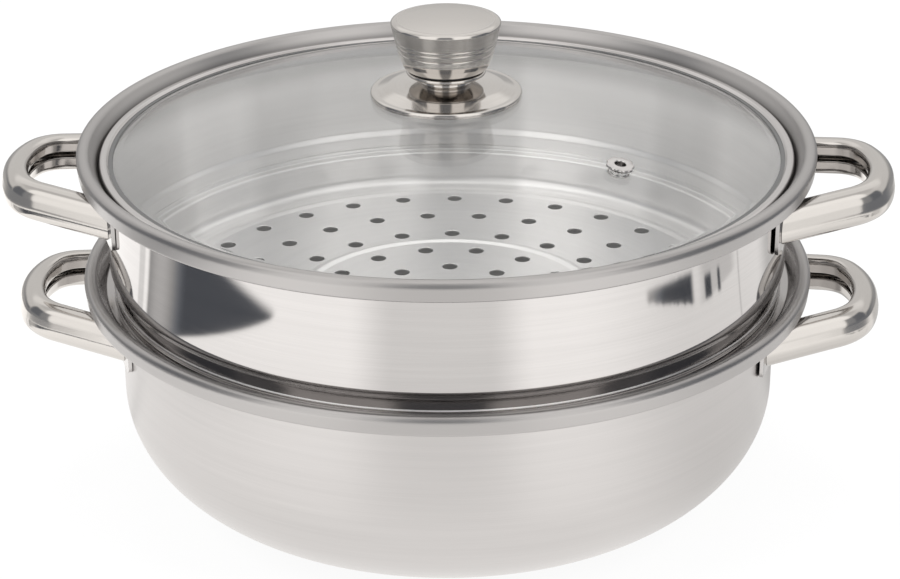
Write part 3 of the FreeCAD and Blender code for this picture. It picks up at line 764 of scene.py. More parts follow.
def shell_steel(name, colour, roughness, crest_z, groove=1.0, reflection_bands=0.0, metallic=1.0):
    """Sheet steel of a tier, with one roughness on its wall, one in its channel and one on its brushed lip.

    The channel is painted darker as shade, at 0.76 of the wall's tone. Its corner takes more painted shade
    towards black and keeps the share groove of that tone. Inside, soft upright bands of painted reflection
    take up to a given share off the tone.
    """
    wall_rough, channel_rough, rim_rough = roughness
    paint = new_paint(name)
    axis = paint.round_axis()
    cosine, sine, radius, z = axis
    fine = turned_lines(paint, axis, 3.0, 5200.0)
    wide = turned_lines(paint, axis, 1.2, 420.0)
    mixed = fine * 0.55 + wide * 0.45
    foot_z = crest_z - LIP_BAND - 1.0
    lip_r = RIM_R - LIP_WIDTH
    upper = paint.step(z, (foot_z - 0.5) * MM, foot_z * MM)
    rim = paint.step(radius, (lip_r - 1.4) * MM, (lip_r - 0.4) * MM) * upper
    channel = paint.step(radius, (POT_WALL_R + 1) * MM, (POT_WALL_R + 2) * MM) * upper
    rough = channel * (channel_rough - wall_rough) + wall_rough
    rough = rim * (rim_rough - channel_rough) + rough + (mixed - 0.5) * (0.03 + wall_rough * 0.25)
    tone = paint.colour(paint.step(mixed, 0.2, 0.8), rgb(colour, 0.90), rgb(colour))
    # Painted shade: the channel is coloured darker than the wall.
    tone = paint.colour(channel, tone, rgb(colour, 0.76))
    # Painted shade: the channel's corner darkens towards black, more so the smaller groove is.
    corner = channel * paint.step(radius, CHANNEL_R * MM, (CHANNEL_R + 2.6) * MM, 1.0 - groove, 0.0)
    tone = paint.colour(corner, tone, BLACK)
    # Painted reflection: soft upright bands darken the wall inside.
    reflection_noise = paint.noise(paint.join(cosine * 2.6, sine * 2.6, 3.0), 1.0, 1.0)
    near_wall = paint.step(radius, (NEST_R - 8) * MM, (NEST_R - 3) * MM)
    tone = paint.colour(paint.step(reflection_noise, 0.42, 0.58, reflection_bands, 0.0) * near_wall, tone, BLACK)
    normal = paint.bump(mixed * (rim * 0.3 + wall_rough ** 2 * 5), 0.3, FINE_RELIEF)
    paint.metal(tone, rough, normal, metallic)


def cup_steel(name, colour):
    """The knob's cup: turned satin from the lowest groove upwards, polished below it."""
    paint = new_paint(name)
    axis = paint.round_axis()
    _, _, _, z = axis
    fine = turned_lines(paint, axis, 2.0, 2600.0)
    wide = turned_lines(paint, axis, 1.0, 900.0)
    groove_z = BODY_FOOT_Z + GROOVES[0]
    satin = paint.step(z, (groove_z - 0.3) * MM, (groove_z + 0.1) * MM)
    mixed = fine * 0.5 + wide * 0.5
    tone = paint.colour(paint.step(mixed, 0.3, 0.7) * satin, rgb(colour), rgb(colour, 0.86))
    rough = satin * (mixed * 0.1 + 0.08) + 0.06
    paint.metal(tone, rough, paint.bump(mixed * satin, 0.03, FINE_RELIEF))


def cap_steel(name, colour):
    """The knob's cap: satin top with a polished edge."""
    paint = new_paint(name)
    axis = paint.round_axis()
    _, _, radius, _ = axis
    fine = turned_lines(paint, axis, 3.0, 2600.0)
    edge_r = BODY_TOP_R - CAP_ROUND_WIDE
    polished = paint.step(radius, (edge_r - 0.3) * MM, (edge_r + 0.1) * MM)
    tone = paint.colour(fine, rgb(colour, 0.96), rgb(colour))
    rough = fine * 0.05 + 0.26 - polished * 0.21
    paint.metal(tone, rough, paint.bump(fine, 0.02, FINE_RELIEF))


def handle_steel(name, colour, roughness):
    """Tumble-polished strap steel: long soft waves in the gloss, a hint of grain and fine scratches."""
    paint = new_paint(name)
    place = paint.place()
    wave = paint.noise(place, 45.0, 2.0)
    grain = paint.noise(place, 2600.0, 2.0)
    tone = paint.colour(wave, rgb(colour, 0.94), rgb(colour))
    rough = wave * 0.05 + grain * 0.04 + (roughness - 0.045)
    paint.metal(tone, rough, paint.bump(wave * 0.8 + grain * 0.02, 0.06, WAVE_RELIEF))


def clear_glass(name, tint):
    """Tempered glass: clear, with a faint waviness; rays that only carry shade pass straight through."""
    paint = new_paint(name)
    wave = paint.noise(paint.place(), 14.0, 1.0)
    glass = paint.principled({
        "Base Color": paint.colour(wave, rgb(tint), rgb(tint, 1.01)), "Roughness": 0.0, "IOR": 1.46,
        "Transmission Weight": 1.0, "Normal": paint.bump(wave, 0.02, WAVE_RELIEF)})
    clear = paint.read("ShaderNodeBsdfTransparent", None, {"Color": rgb(tint, 0.97)})
    straight = paint.ray("Is Shadow Ray") | paint.ray("Is Diffuse Ray")
    paint.surface(paint.read("ShaderNodeMixShader", None, [straight, glass, clear]))


def rubber(name, colour, transmission, roughness):
    """Silicone: a slightly mottled, soft skin."""
    paint = new_paint(name)
    mottle = paint.noise(paint.place(), 900.0, 3.0)
    paint.surface(paint.principled({
        "Base Color": paint.colour(mottle, rgb(colour, 0.88), rgb(colour)), "IOR": 1.41,
        "Roughness": mottle * 0.12 + (roughness - 0.06), "Transmission Weight": transmission,
        "Normal": paint.bump(mottle, 0.15, FINE_RELIEF)}))


# ---- settings ----
class SteamerFinishSettings(bpy.types.PropertyGroup):
    """Colours and gloss of the finishes."""

    steel_colour: bpy.props.FloatVectorProperty(
        name="Steel", description="Colour of the bare steel", subtype="COLOR", size=3,
        default=(0.605, 0.588, 0.582), min=0, max=1)
    warm_colour: bpy.props.FloatVectorProperty(
        name="Warm steel", description="Colour of the knob's and handles' steel", subtype="COLOR", size=3,
        default=(0.63, 0.605, 0.58), min=0, max=1)
    inside_colour: bpy.props.FloatVectorProperty(
        name="Tray inside", description="Colour of the tray's satin inside", subtype="COLOR", size=3,
        default=(0.95, 0.938, 0.93), min=0, max=1)
    glass_colour: bpy.props.FloatVectorProperty(
        name="Glass", description="Tint of the lid's glass", subtype="COLOR", size=3,
        default=(0.985, 0.99, 0.99), min=0, max=1)
    pot_roughness: bpy.props.FloatProperty(
        name="Pot roughness", description="Roughness of the pot's satin wall", subtype="FACTOR",
        default=0.30, min=0.02, max=1)
    tray_roughness: bpy.props.FloatProperty(
        name="Tray roughness", description="Roughness of the tray's bright wall", subtype="FACTOR",
        default=0.05, min=0.02, max=1)
    inside_roughness: bpy.props.FloatProperty(
        name="Inside roughness", description="Roughness of the tray's satin inside", subtype="FACTOR",
        default=0.30, min=0.02, max=1)
    rim_roughness: bpy.props.FloatProperty(
        name="Rim roughness", description="Roughness of the brushed rims", subtype="FACTOR",
        default=0.32, min=0.02, max=1)
    handle_roughness: bpy.props.FloatProperty(
        name="Handle roughness", description="Roughness of the polished handles", subtype="FACTOR",
        default=0.13, min=0.02, max=1)


class SteamerShapeSettings(bpy.types.PropertyGroup):
    """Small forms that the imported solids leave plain."""

    groove_depth: bpy.props.FloatProperty(
        name="Groove depth", description="Depth of the turned grooves in the knob's cup", unit="LENGTH",
        default=0.3 * MM, min=0, max=0.6 * MM, precision=5)
    right_plate_gap: bpy.props.FloatProperty(
        name="Right plate gap", description="How far the ends of the right-hand plates stand off the wall",
        unit="LENGTH", default=0.9 * MM, min=0, max=1.2 * MM, precision=5)
    left_plate_gap: bpy.props.FloatProperty(
        name="Left plate gap", description="How far the ends of the left-hand plates stand off the wall",
        unit="LENGTH", default=0.2 * MM, min=0, max=1.2 * MM, precision=5)


class SteamerMeshSettings(bpy.types.PropertyGroup):
    """Fineness of the meshes."""

    turn_steps: bpy.props.IntProperty(
        name="Steps round", description="Points round each turned piece", default=360, min=48, max=720)
    tray_steps: bpy.props.IntProperty(
        name="Tray steps", description="Points round the tray, whose floor needs many more of its own",
        default=288, min=48, max=720)
    hole_steps: bpy.props.IntProperty(
        name="Steps round a hole", description="Points round each steam hole", default=24, min=8, max=64)


class SteamerStageSettings(bpy.types.PropertyGroup):
    """Camera, lamps and background."""

    lens: bpy.props.FloatProperty(
        name="Lens", description="Focal length on a 36 mm sensor", default=99.86, min=20, max=300)
    lamp_power: bpy.props.FloatProperty(
        name="Lamp power", description="Power of each softbox in watts", unit="POWER", default=9.0, min=0)
    world_light: bpy.props.FloatProperty(
        name="World light", description="Strength of the plain surrounding light", default=0.75, min=0)


# ---- operators ----
class STEAMER_OT_finishes(bpy.types.Operator):
    """Make the finishes of steel, glass, silicone, brass and aluminium"""

    bl_idname = "steamer.finishes"
    bl_label = "Finishes"

    def execute(self, context):
        look = context.scene.steamer_finish
        bright = tuple(look.steel_colour)
        warm = tuple(look.warm_colour)
        inside = tuple(look.inside_colour)
        rim = look.rim_roughness
        shell_steel("pot_satin_steel", bright, (look.pot_roughness, 0.1, rim), POT_CREST_Z)
        # The tray's channel corner gets painted shade, and its inside gets painted reflection bands.
        shell_steel("tray_bright_steel", bright, (look.tray_roughness, 0.3, rim), STEAMER_CREST_Z, groove=0.3)
        shell_steel("tray_satin_steel", inside, (look.inside_roughness, 0.3, rim), STEAMER_CREST_Z,
                    groove=0.3, reflection_bands=0.24, metallic=0.86)
        handle_steel("handle_polished_steel", warm, look.handle_roughness)
        handle_steel("plate_pressed_steel", bright, look.handle_roughness + 0.06)
        steel("band_rolled_steel", bright, 0.22, (3.0, 3600.0), 0.08)
        cap_steel("cap_brushed_steel", warm)
        cup_steel("cup_turned_steel", warm)
        steel("skirt_spun_steel", warm, 0.11, (2.0, 2200.0), 0.04, 0.03, 0.03)
        steel("vent_pressed_steel", bright, 0.16, (2.0, 2600.0), 0.05)
        steel("screw_plated_steel", (0.60, 0.60, 0.60), 0.28, (8.0, 2500.0), 0.20)
        steel("insert_turned_brass", (0.80, 0.58, 0.26), 0.25, (3.0, 6000.0), 0.25)
        steel("bush_turned_aluminium", (0.78, 0.78, 0.79), 0.35, (3.0, 5000.0), 0.25)
        clear_glass("lid_tempered_glass", tuple(look.glass_colour))
        rubber("soft_clear_silicone", (0.10, 0.10, 0.10), 0.15, 0.35)
        rubber("soft_black_silicone", (0.018, 0.018, 0.019), 0.0, 0.42)
        return {"FINISHED"}


class STEAMER_OT_pot(bpy.types.Operator):
    """Turn the pot's shell: flat base, elliptical corner, wall and rolled rim in one sheet"""

    bl_idname = "steamer.pot"
    bl_label = "Pot shell"

    def execute(self, context):
        inner, sides = bent([(POT_MOUTH_R, POT_CORNER_RISE, 0)] + rim_corners(POT_MOUTH_R, POT_CREST_Z))
        outer = inner - sides * SHEET
        outline = np.vstack([pot_base(SHEET), inner, outer[::-1], pot_base(0)[::-1]])
        count = context.scene.steamer_mesh.turn_steps
        turn_piece("PotShell", outline, count, "pot", "pot_satin_steel", ["pot_shell"], "satin_steel", closed=False)
        return {"FINISHED"}


class STEAMER_OT_tray(bpy.types.Operator):
    """Make the tray: a perforated floor plate welded to a turned wall with its neck, shoulder and rim"""

    bl_idname = "steamer.tray"
    bl_label = "Steamer tray"

    def execute(self, context):
        mesh = context.scene.steamer_mesh
        points, faces = self.floor_plate(mesh.tray_steps, mesh.hole_steps)
        outline = sheet(tray_wall_corners(), SHEET, arc_step=11.0, run_step=30.0)
        wall, wall_faces = lathe(outline, mesh.tray_steps, closed=False)
        faces.append(wall_faces[0] + len(points))
        tray = make_piece("TrayShell", np.vstack([points, wall]), faces, "steamer", "tray_bright_steel",
                          ["steamer_shell"], "bright_steel")
        self.line_inside(tray.data)
        return {"FINISHED"}

    def floor_plate(self, count, hole_steps):
        """The floor: the ridge's height over the radius, an underside one sheet lower, and the holes' walls.

        A hole's upper edge is eased: both faces end at the hole's radius + ease, and a loop at the hole's own
        radius lies the ease below the top.
        """
        inside_r, outside_r = FLAT_BESIDE_RIDGE
        ridge, _ = bent([(inside_r, FLOOR_Z, 0)] + ridge_corners(RIDGE_R[0]) + [(outside_r, FLOOR_Z, 0)],
                        guard=0.1, run_step=40)
        ridge_rings = ridge[np.abs(ridge[:, 0] - RIDGE_R[0]) < RIDGE_HALF + 1.0, 0]
        rings = np.sort(np.concatenate([RINGS_BETWEEN_HOLES, [FLOOR_PLATE_R], ridge_rings]))
        plan, net, loops = holed_plate(rings, tray_holes(HOLE_R + HOLE_EASE), count, hole_steps)
        top = np.column_stack([plan, np.interp(np.hypot(plan[:, 0], plan[:, 1]), ridge[:, 0], ridge[:, 1])])
        low = top - [0, 0, SHEET]
        holes = tray_holes(HOLE_R)
        edge_plan = (holes[:, None, :2] + HOLE_R * circle(hole_steps)).reshape(-1, 2)
        edge = np.column_stack([edge_plan, np.full(len(edge_plan), FLOOR_Z - HOLE_EASE)])
        points = np.vstack([top, low, edge])
        edge_loops = 2 * len(top) + np.arange(len(edge)).reshape(loops.shape)
        walls = np.vstack([loop_walls(stack) for stack in zip(loops, edge_loops, loops + len(top))])
        net = facing_up(plan, net)
        return points, [net, net[:, ::-1] + len(top), facing(points, walls, -1, holes[0, :2])]

    def line_inside(self, mesh):
        """The satin finish goes on the faces inside the tray.

        With n a face's normal and c its centre, these are the faces where n . c < 0 in plan or n points up.
        """
        mesh.materials.append(bpy.data.materials["tray_satin_steel"])
        centre = np.zeros(len(mesh.polygons) * 3)
        normal = np.zeros(len(mesh.polygons) * 3)
        mesh.polygons.foreach_get("center", centre)
        mesh.polygons.foreach_get("normal", normal)
        centre, normal = centre.reshape(-1, 3), normal.reshape(-1, 3)
        inward = np.einsum("ij,ij->i", centre[:, :2], normal[:, :2]) < 0
        within_wall = np.hypot(centre[:, 0], centre[:, 1]) < STEAMER_WALL_R * MM
        inside = (inward | (normal[:, 2] > 0.3)) & within_wall
        mesh.polygons.foreach_set("material_index", inside.astype(int))


class STEAMER_OT_handles(bpy.types.Operator):
    """Carry the strap's section along each handle's path, and press the plates that hold it"""

    bl_idname = "steamer.handles"
    bl_label = "Handles and plates"

    def execute(self, context):
        shape = context.scene.steamer_shape
        gaps = {"right": shape.right_plate_gap / MM, "left": shape.left_plate_gap / MM}
        section = sheet(strap_corners(), HANDLE_SHEET, arc_step=8.0, run_step=1.6, guard=0.12)
        core, _ = bent(tongue_corners(), closed=True, run_step=3.0, guard=0.2)
        for tier, body, wall_r, crest_z in (("Pot", "pot", POT_WALL_R, POT_CREST_Z),
                                            ("Tray", "steamer", STEAMER_WALL_R, STEAMER_CREST_Z)):
            foot_z = crest_z - HANDLE_DROP
            rings = handle_rings(section, wall_r, foot_z)
            faces = strap_faces(*rings.shape[:2])
            for hand, way in (("right", 1), ("left", -1)):
                make_piece(tier + "Handle" + hand.title(), rings.reshape(-1, 3) * [way, way, 1], faces,
                           body, "handle_polished_steel", [body + "_handle_" + hand], "handle_steel", 40.0)
                for side in (1, -1):
                    place = "back" if side * way > 0 else "front"
                    name = tier + "Plate" + hand.title() + place.title()
                    node = body + "_bracket_" + hand + "_" + place
                    self.plate(name, node, body, wall_r, foot_z, core, gaps[hand], [way, side * way, 1])
        return {"FINISHED"}

    def plate(self, name, node, body, wall_r, foot_z, core, gap, mirror):
        """A rounded plate bent to the wall, with its tongue in the strap: the back right one, then mirrored.

        A point at the distance s along the plate lies at the angle middle + arcsin(s / r). With w a quarter
        of the plate's width, its ends stand off the wall by gap * ((|s| - w) / w)^2.
        """
        start, way = flank_start(core, wall_r, foot_z)
        far = to_drum(start, way, wall_r + TONGUE_LENGTH)
        near = to_drum(start, way, wall_r + PLATE_THICK - TONGUE_SINK)
        middle = math.atan2(*near.mean(0)[1::-1])
        across, up = plate_grid()
        quarter = PLATE_WIDE / 4
        lift = gap * (np.clip(np.abs(across) - quarter, 0, None) / quarter) ** 2
        grids = []
        for radius in (wall_r + lift, wall_r + lift + PLATE_THICK):
            angle = middle + np.arcsin(across / radius)
            x, y = radius * np.cos(angle) + 0 * up, radius * np.sin(angle) + 0 * up
            grids.append(np.stack([x, y, foot_z + up], -1))
        face = grid_faces(*up.shape, False, False)
        number = np.arange(up.size).reshape(up.shape)
        edge = np.concatenate([number[0], number[1:, -1], number[-1, -2::-1], number[-2:0:-1, 0]])
        faces = [face, face[:, ::-1] + up.size, loop_walls([edge, edge + up.size])]
        piece = make_piece(name, np.reshape(grids, (-1, 3)) * mirror, faces, body, "plate_pressed_steel",
                           [node], "bracket_steel", 30.0)
        bevel = piece.modifiers.new("Rounded edge", "BEVEL")
        bevel.width = PLATE_BEVEL * MM
        bevel.segments = 3
        bevel.angle_limit = math.radians(50)
        bevel.harden_normals = True
        self.tongue(name + "Tongue", near * mirror, far * mirror, body)

    def tongue(self, name, near, far, body):
        """A closed prism between two loops of points, with a fan over each end from an added middle point."""
        count = len(near)
        first = np.arange(count)
        after = np.roll(first, -1)
        near_fan = np.stack([after, first, np.full(count, 2 * count)], -1)
        far_fan = np.stack([first + count, after + count, np.full(count, 2 * count + 1)], -1)
        make_piece(name, np.vstack([near, far, near.mean(0), far.mean(0)]),
                   [loop_walls([first, first + count]), near_fan, far_fan],
                   body, "plate_pressed_steel", (), "bracket_steel", 30.0)


class STEAMER_OT_lid(bpy.types.Operator):
    """Turn the lid's glass dome, its steel band and edge seal, and set the steam vent in the glass"""

    bl_idname = "steamer.lid"
    bl_label = "Glass lid and vent"

    def execute(self, context):
        count = context.scene.steamer_mesh.turn_steps
        self.glass(count)
        lip_r = LEG_R - LEG_LIP
        lip_top_z = LEG_FOOT_Z + LEG_SHEET
        band, _ = bent([
            (lip_r, LEG_FOOT_Z, 0.15),
            (LEG_R, LEG_FOOT_Z, 0.5),
            (LEG_R, CROWN_FOOT_Z, 0),
            (CROWN_R, CROWN_FOOT_Z, 0.5),
            (CROWN_R, CROWN_TOP_Z, 0.9),
            (CROWN_R - CROWN_WIDE, CROWN_TOP_Z, 0.9),
            (LEG_IN_R, GLASS_EDGE_Z + 0.5, 0.1),
            (LEG_IN_R, lip_top_z, 0),
            (lip_r, lip_top_z, 0.15),
        ], closed=True, guard=0.08)
        turn_piece("LidBand", band, count, "lid", "band_rolled_steel", ["lid_rim_band"], "band_steel")
        lap_r = GLASS_R - SEAL_LAP
        shelf_r = GLASS_R - GLASS_ROUND
        seal = np.array([
            (lip_r, lip_top_z),
            (LEG_IN_R, lip_top_z),
            (LEG_IN_R, GLASS_EDGE_Z + 0.3),
            (GLASS_R - 0.3, GLASS_EDGE_Z + 0.4),
            (lap_r, glass_height(lap_r) + 0.15),
            (lap_r, glass_height(lap_r) + 0.02),
            (shelf_r, glass_height(shelf_r) + 0.02),
            (GLASS_R, GLASS_EDGE_Z - 0.3),
            (GLASS_R, glass_height(GLASS_R, GLASS_THICK)),
            (lip_r, glass_height(lip_r, GLASS_THICK)),
        ])
        turn_piece("LidSeal", seal, count, "lid", "soft_clear_silicone", ["lid_edge_seal"], "clear_silicone")
        self.vent()
        return {"FINISHED"}

    def glass(self, count):
        """Two concentric spheres joined at the rounded edge, the knob's bore and the vent's hole."""
        rings = np.concatenate([[GLASS_BORE_R], np.linspace(9, GLASS_R - GLASS_ROUND, 40)])
        vent = np.array([[VENT_R * math.cos(VENT_ANGLE), VENT_R * math.sin(VENT_ANGLE), VENT_HOLE_R]])
        plan, net, vent_loops = holed_plate(rings, vent, count, 32, keep_rings=False)
        radius = np.hypot(plan[:, 0], plan[:, 1])
        outside_bore = np.hypot(*plan[net].mean(1).T) > GLASS_BORE_R * 0.9999
        net = facing_up(plan, net[outside_bore])
        top = np.column_stack([plan, glass_height(radius)])
        heart = np.array([0, 0, DOME_CENTRE_Z])
        low = heart + (top - heart) * ((DOME_R - GLASS_THICK) / DOME_R)
        size = len(top)
        rim = np.where(radius > GLASS_R - GLASS_ROUND - 1e-6)[0]
        rim = rim[np.argsort(np.arctan2(plan[rim, 1], plan[rim, 0]))]
        rounds = self.edge_rounds(top[rim], low[rim])
        points = np.vstack([top, low] + rounds)
        round_numbers = 2 * size + np.arange(len(rounds) * len(rim)).reshape(len(rounds), -1)
        edge_walls = loop_walls([rim, *round_numbers, rim + size])
        bore = np.arange(count)
        bore_walls = loop_walls([bore, bore + size])
        vent_walls = loop_walls([vent_loops[0], vent_loops[0] + size])
        faces = [net, net[:, ::-1] + size, facing(points, edge_walls, 1), facing(points, bore_walls, -1),
                 facing(points, vent_walls, -1, vent[0, :2])]
        piece = make_piece("LidGlass", points, faces, "lid", "lid_tempered_glass", ["lid_glass"], "lid_glass")
        self.true_normals(piece.data)

    def edge_rounds(self, top_edge, low_edge):
        """Rings of the rounded edge, from the top sphere out to the glass's radius R and in to the lower.

        From an edge at (r, z) a ring lies at (r + (R - r) sin t, z -+ round (1 - cos t)), t up to 90 degrees.
        """
        angle = np.arctan2(top_edge[:, 1], top_edge[:, 0])
        turn = np.linspace(0, np.pi / 2, 5)[1:]
        rounds = []
        for edge, turns, way in ((top_edge, turn, -1), (low_edge, turn[-2::-1], 1)):
            edge_r, edge_z = math.hypot(edge[0, 0], edge[0, 1]), edge[0, 2]
            for t in turns:
                r = edge_r + (GLASS_R - edge_r) * math.sin(t)
                z = edge_z + way * GLASS_ROUND * (1 - math.cos(t))
                rounds.append(np.column_stack([r * np.cos(angle), r * np.sin(angle), np.full(len(angle), z)]))
        return rounds

    def true_normals(self, mesh):
        """Corner normals of the two sphere faces: (p - centre) / length, and the reverse on the lower face."""
        points = np.zeros(len(mesh.vertices) * 3)
        mesh.vertices.foreach_get("co", points)
        away = points.reshape(-1, 3) - [0, 0, DOME_CENTRE_Z * MM]
        reach = np.linalg.norm(away, axis=1)
        away = away / reach[:, None]
        owner = np.zeros(len(mesh.loops), int)
        mesh.loops.foreach_get("vertex_index", owner)
        normals = np.zeros(len(mesh.loops) * 3)
        mesh.corner_normals.foreach_get("vector", normals)
        normals = normals.reshape(-1, 3)
        across = np.einsum("ij,ij->i", normals, away[owner])
        for way, sphere_r in ((1, DOME_R), (-1, DOME_R - GLASS_THICK)):
            on_sphere = (np.abs(reach[owner] - sphere_r * MM) < 1e-6) & (across * way > 0.99)
            normals[on_sphere] = way * away[owner[on_sphere]]
        mesh.normals_split_custom_set(normals.tolist())

    def vent(self):
        """An eyelet turned about the vent's axis.

        Its flange is scalloped, radius * (1 + share * lobes(angle)), and its top falls by drop * share^2, with
        share going from 0 inside to 1 at the flange's edge.
        """
        crimp_low, crimp_high = VENT_CRIMP_Z
        flange_low, flange_high = VENT_FLANGE_Z
        outline, _ = bent([
            (VENT_BORE_R, crimp_low, 0.4),
            (VENT_CRIMP_R, crimp_low, 0.2),
            (VENT_CRIMP_R, crimp_high, 0.2),
            (VENT_TUBE_R, crimp_high, 0),
            (VENT_TUBE_R, flange_low, 0),
            (VENT_FLANGE_R, flange_low, 0.36),
            (VENT_FLANGE_R, flange_high, 0.55),
            (VENT_BORE_R, flange_high, 0.55),
        ], closed=True, guard=0.05, run_step=0.6)
        points, faces = lathe(outline, 120)
        angle = np.arctan2(points[:, 1], points[:, 0])
        radius = np.hypot(points[:, 0], points[:, 1])
        share = np.clip((radius - SCALLOP_FROM_R) / (VENT_FLANGE_R - SCALLOP_FROM_R), 0, 1) * (points[:, 2] > 0)
        lobes = 0.035 * np.cos(9 * angle) + 0.03 * np.cos(4 * angle + 1.0) - 0.03
        points[:, :2] *= (1 + share * lobes)[:, None]
        points[:, 2] -= VENT_FLANGE_DROP * share ** 2 * (points[:, 2] > 1.0)
        points = at_vent(points)
        make_piece("LidVent", points, faces, "lid", "vent_pressed_steel", ["vent_eyelet"], "knob_steel")


class STEAMER_OT_knob(bpy.types.Operator):
    """Turn the knob: spun skirt, black ring, grooved cup and domed cap"""

    bl_idname = "steamer.knob"
    bl_label = "Knob"

    def execute(self, context):
        count = context.scene.steamer_mesh.turn_steps // 2
        skirt = sheet([
            (INSERT_R, FLARE_TOP_Z, 0),
            (FLARE_R, FLARE_TOP_Z, 0.8),
            (FLARE_R, FLARE_TOP_Z - FLARE_EDGE, 0.8),
            (NECK_R, NECK_TOP_Z, 0.9),
            (NECK_R, NECK_FOOT_Z, 0.9),
            (SKIRT_KNEE_R, SKIRT_KNEE_Z, 6.0),
            (SKIRT_R - SKIRT_LAND_WIDE, SKIRT_LAND_Z, 1.0),
            (SKIRT_R, SKIRT_LAND_Z, 1.0),
            (SKIRT_R, SKIRT_FOOT_Z, 0),
        ], SKIRT_SHEET, guard=0.1, run_step=2.0)
        turn_piece("KnobSkirt", skirt, count, "lid", "skirt_spun_steel", ["knob_skirt"], "knob_steel", sharp=40.0)
        ring, _ = bent([
            (INSERT_R, FLARE_TOP_Z, 0),
            (GASKET_R, FLARE_TOP_Z, 0.3),
            (GASKET_R, BODY_FOOT_Z, 0.3),
            (INSERT_R, BODY_FOOT_Z, 0),
        ], closed=True, guard=0.05)
        turn_piece("KnobRing", ring, count, "lid", "soft_black_silicone", ["knob_gasket"], "black_silicone")
        self.cup(count, context.scene.steamer_shape.groove_depth / MM)
        self.cap(count)
        return {"FINISHED"}

    def cup(self, count, depth):
        """A flaring cup; turned grooves take depth * exp(-((z - groove) / width)^2) off its outer radius."""
        outline = sheet([
            (BODY_TOP_R, BODY_TOP_Z, 0),
            (BODY_BEND_R, BODY_BEND_Z, BODY_BEND),
            (BODY_FOOT_R, BODY_FOOT_Z, 0.9),
            (INSERT_R, BODY_FOOT_Z, 0),
        ], BODY_SHEET, arc_step=2.0, run_step=0.12, guard=0.05)
        outline[:, 1] = np.minimum(outline[:, 1], BODY_TOP_Z)
        outer = np.arange(len(outline)) < len(outline) // 2
        for groove in GROOVES:
            rise = outline[:, 1] - BODY_FOOT_Z - groove
            outline[:, 0] -= depth * np.exp(-(rise / GROOVE_HALF) ** 2) * outer
        turn_piece("KnobCup", outline, count, "lid", "cup_turned_steel", ["knob_body"], "knob_steel", sharp=50.0)

    def cap(self, count):
        """A shallow sphere cap whose edge falls in a quarter ellipse, and its spigot inside the cup.

        The edge runs (r - w + w sin t, z - h (1 - cos t)) for t up to 90 degrees.
        """
        sphere_r = (BODY_TOP_R ** 2 + CAP_DOME ** 2) / (2 * CAP_DOME)
        centre_z = BODY_TOP_Z + CAP_EDGE + CAP_DOME - sphere_r
        inner_r = BODY_TOP_R - CAP_ROUND_WIDE
        radius = np.linspace(0, inner_r, 30)
        dome = np.stack([radius, centre_z + np.sqrt(sphere_r ** 2 - radius ** 2)], 1)
        tall = dome[-1, 1] - BODY_TOP_Z - 0.1
        turn = np.radians(np.linspace(6, 90, 15))
        edge = np.stack([inner_r + CAP_ROUND_WIDE * np.sin(turn), dome[-1, 1] - tall * (1 - np.cos(turn))], 1)
        spigot = np.array([
            (BODY_TOP_R, BODY_TOP_Z),
            (SPIGOT_R, BODY_TOP_Z),
            (SPIGOT_R, BODY_TOP_Z - SPIGOT_DEPTH),
            (SPIGOT_IN_R, BODY_TOP_Z - SPIGOT_DEPTH),
            (SPIGOT_IN_R, BODY_TOP_Z),
            (0, BODY_TOP_Z),
        ])
        turn_piece("KnobCap", np.vstack([dome, edge, spigot]), count, "lid", "cap_brushed_steel", ["knob_cap"],
                   "knob_steel", closed=False, sharp=50.0)


class STEAMER_OT_inner_parts(bpy.types.Operator):
    """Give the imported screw, washer, pads, bush and insert their finishes"""

    bl_idname = "steamer.inner_parts"
    bl_label = "Inner parts of the knob"

    def execute(self, context):
        finishes = {
            "vent_washer": "soft_clear_silicone",
            "knob_seal_upper": "soft_clear_silicone",
            "knob_seal_lower": "soft_clear_silicone",
            "knob_bush": "bush_turned_aluminium",
            "knob_insert": "insert_turned_brass",
            "knob_screw": "screw_plated_steel",
            "knob_steel_washer": "screw_plated_steel",
        }
        for node, finish in finishes.items():
            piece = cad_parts[node]
            piece.data.materials.clear()
            piece.data.materials.append(bpy.data.materials[finish])
        return {"FINISHED"}


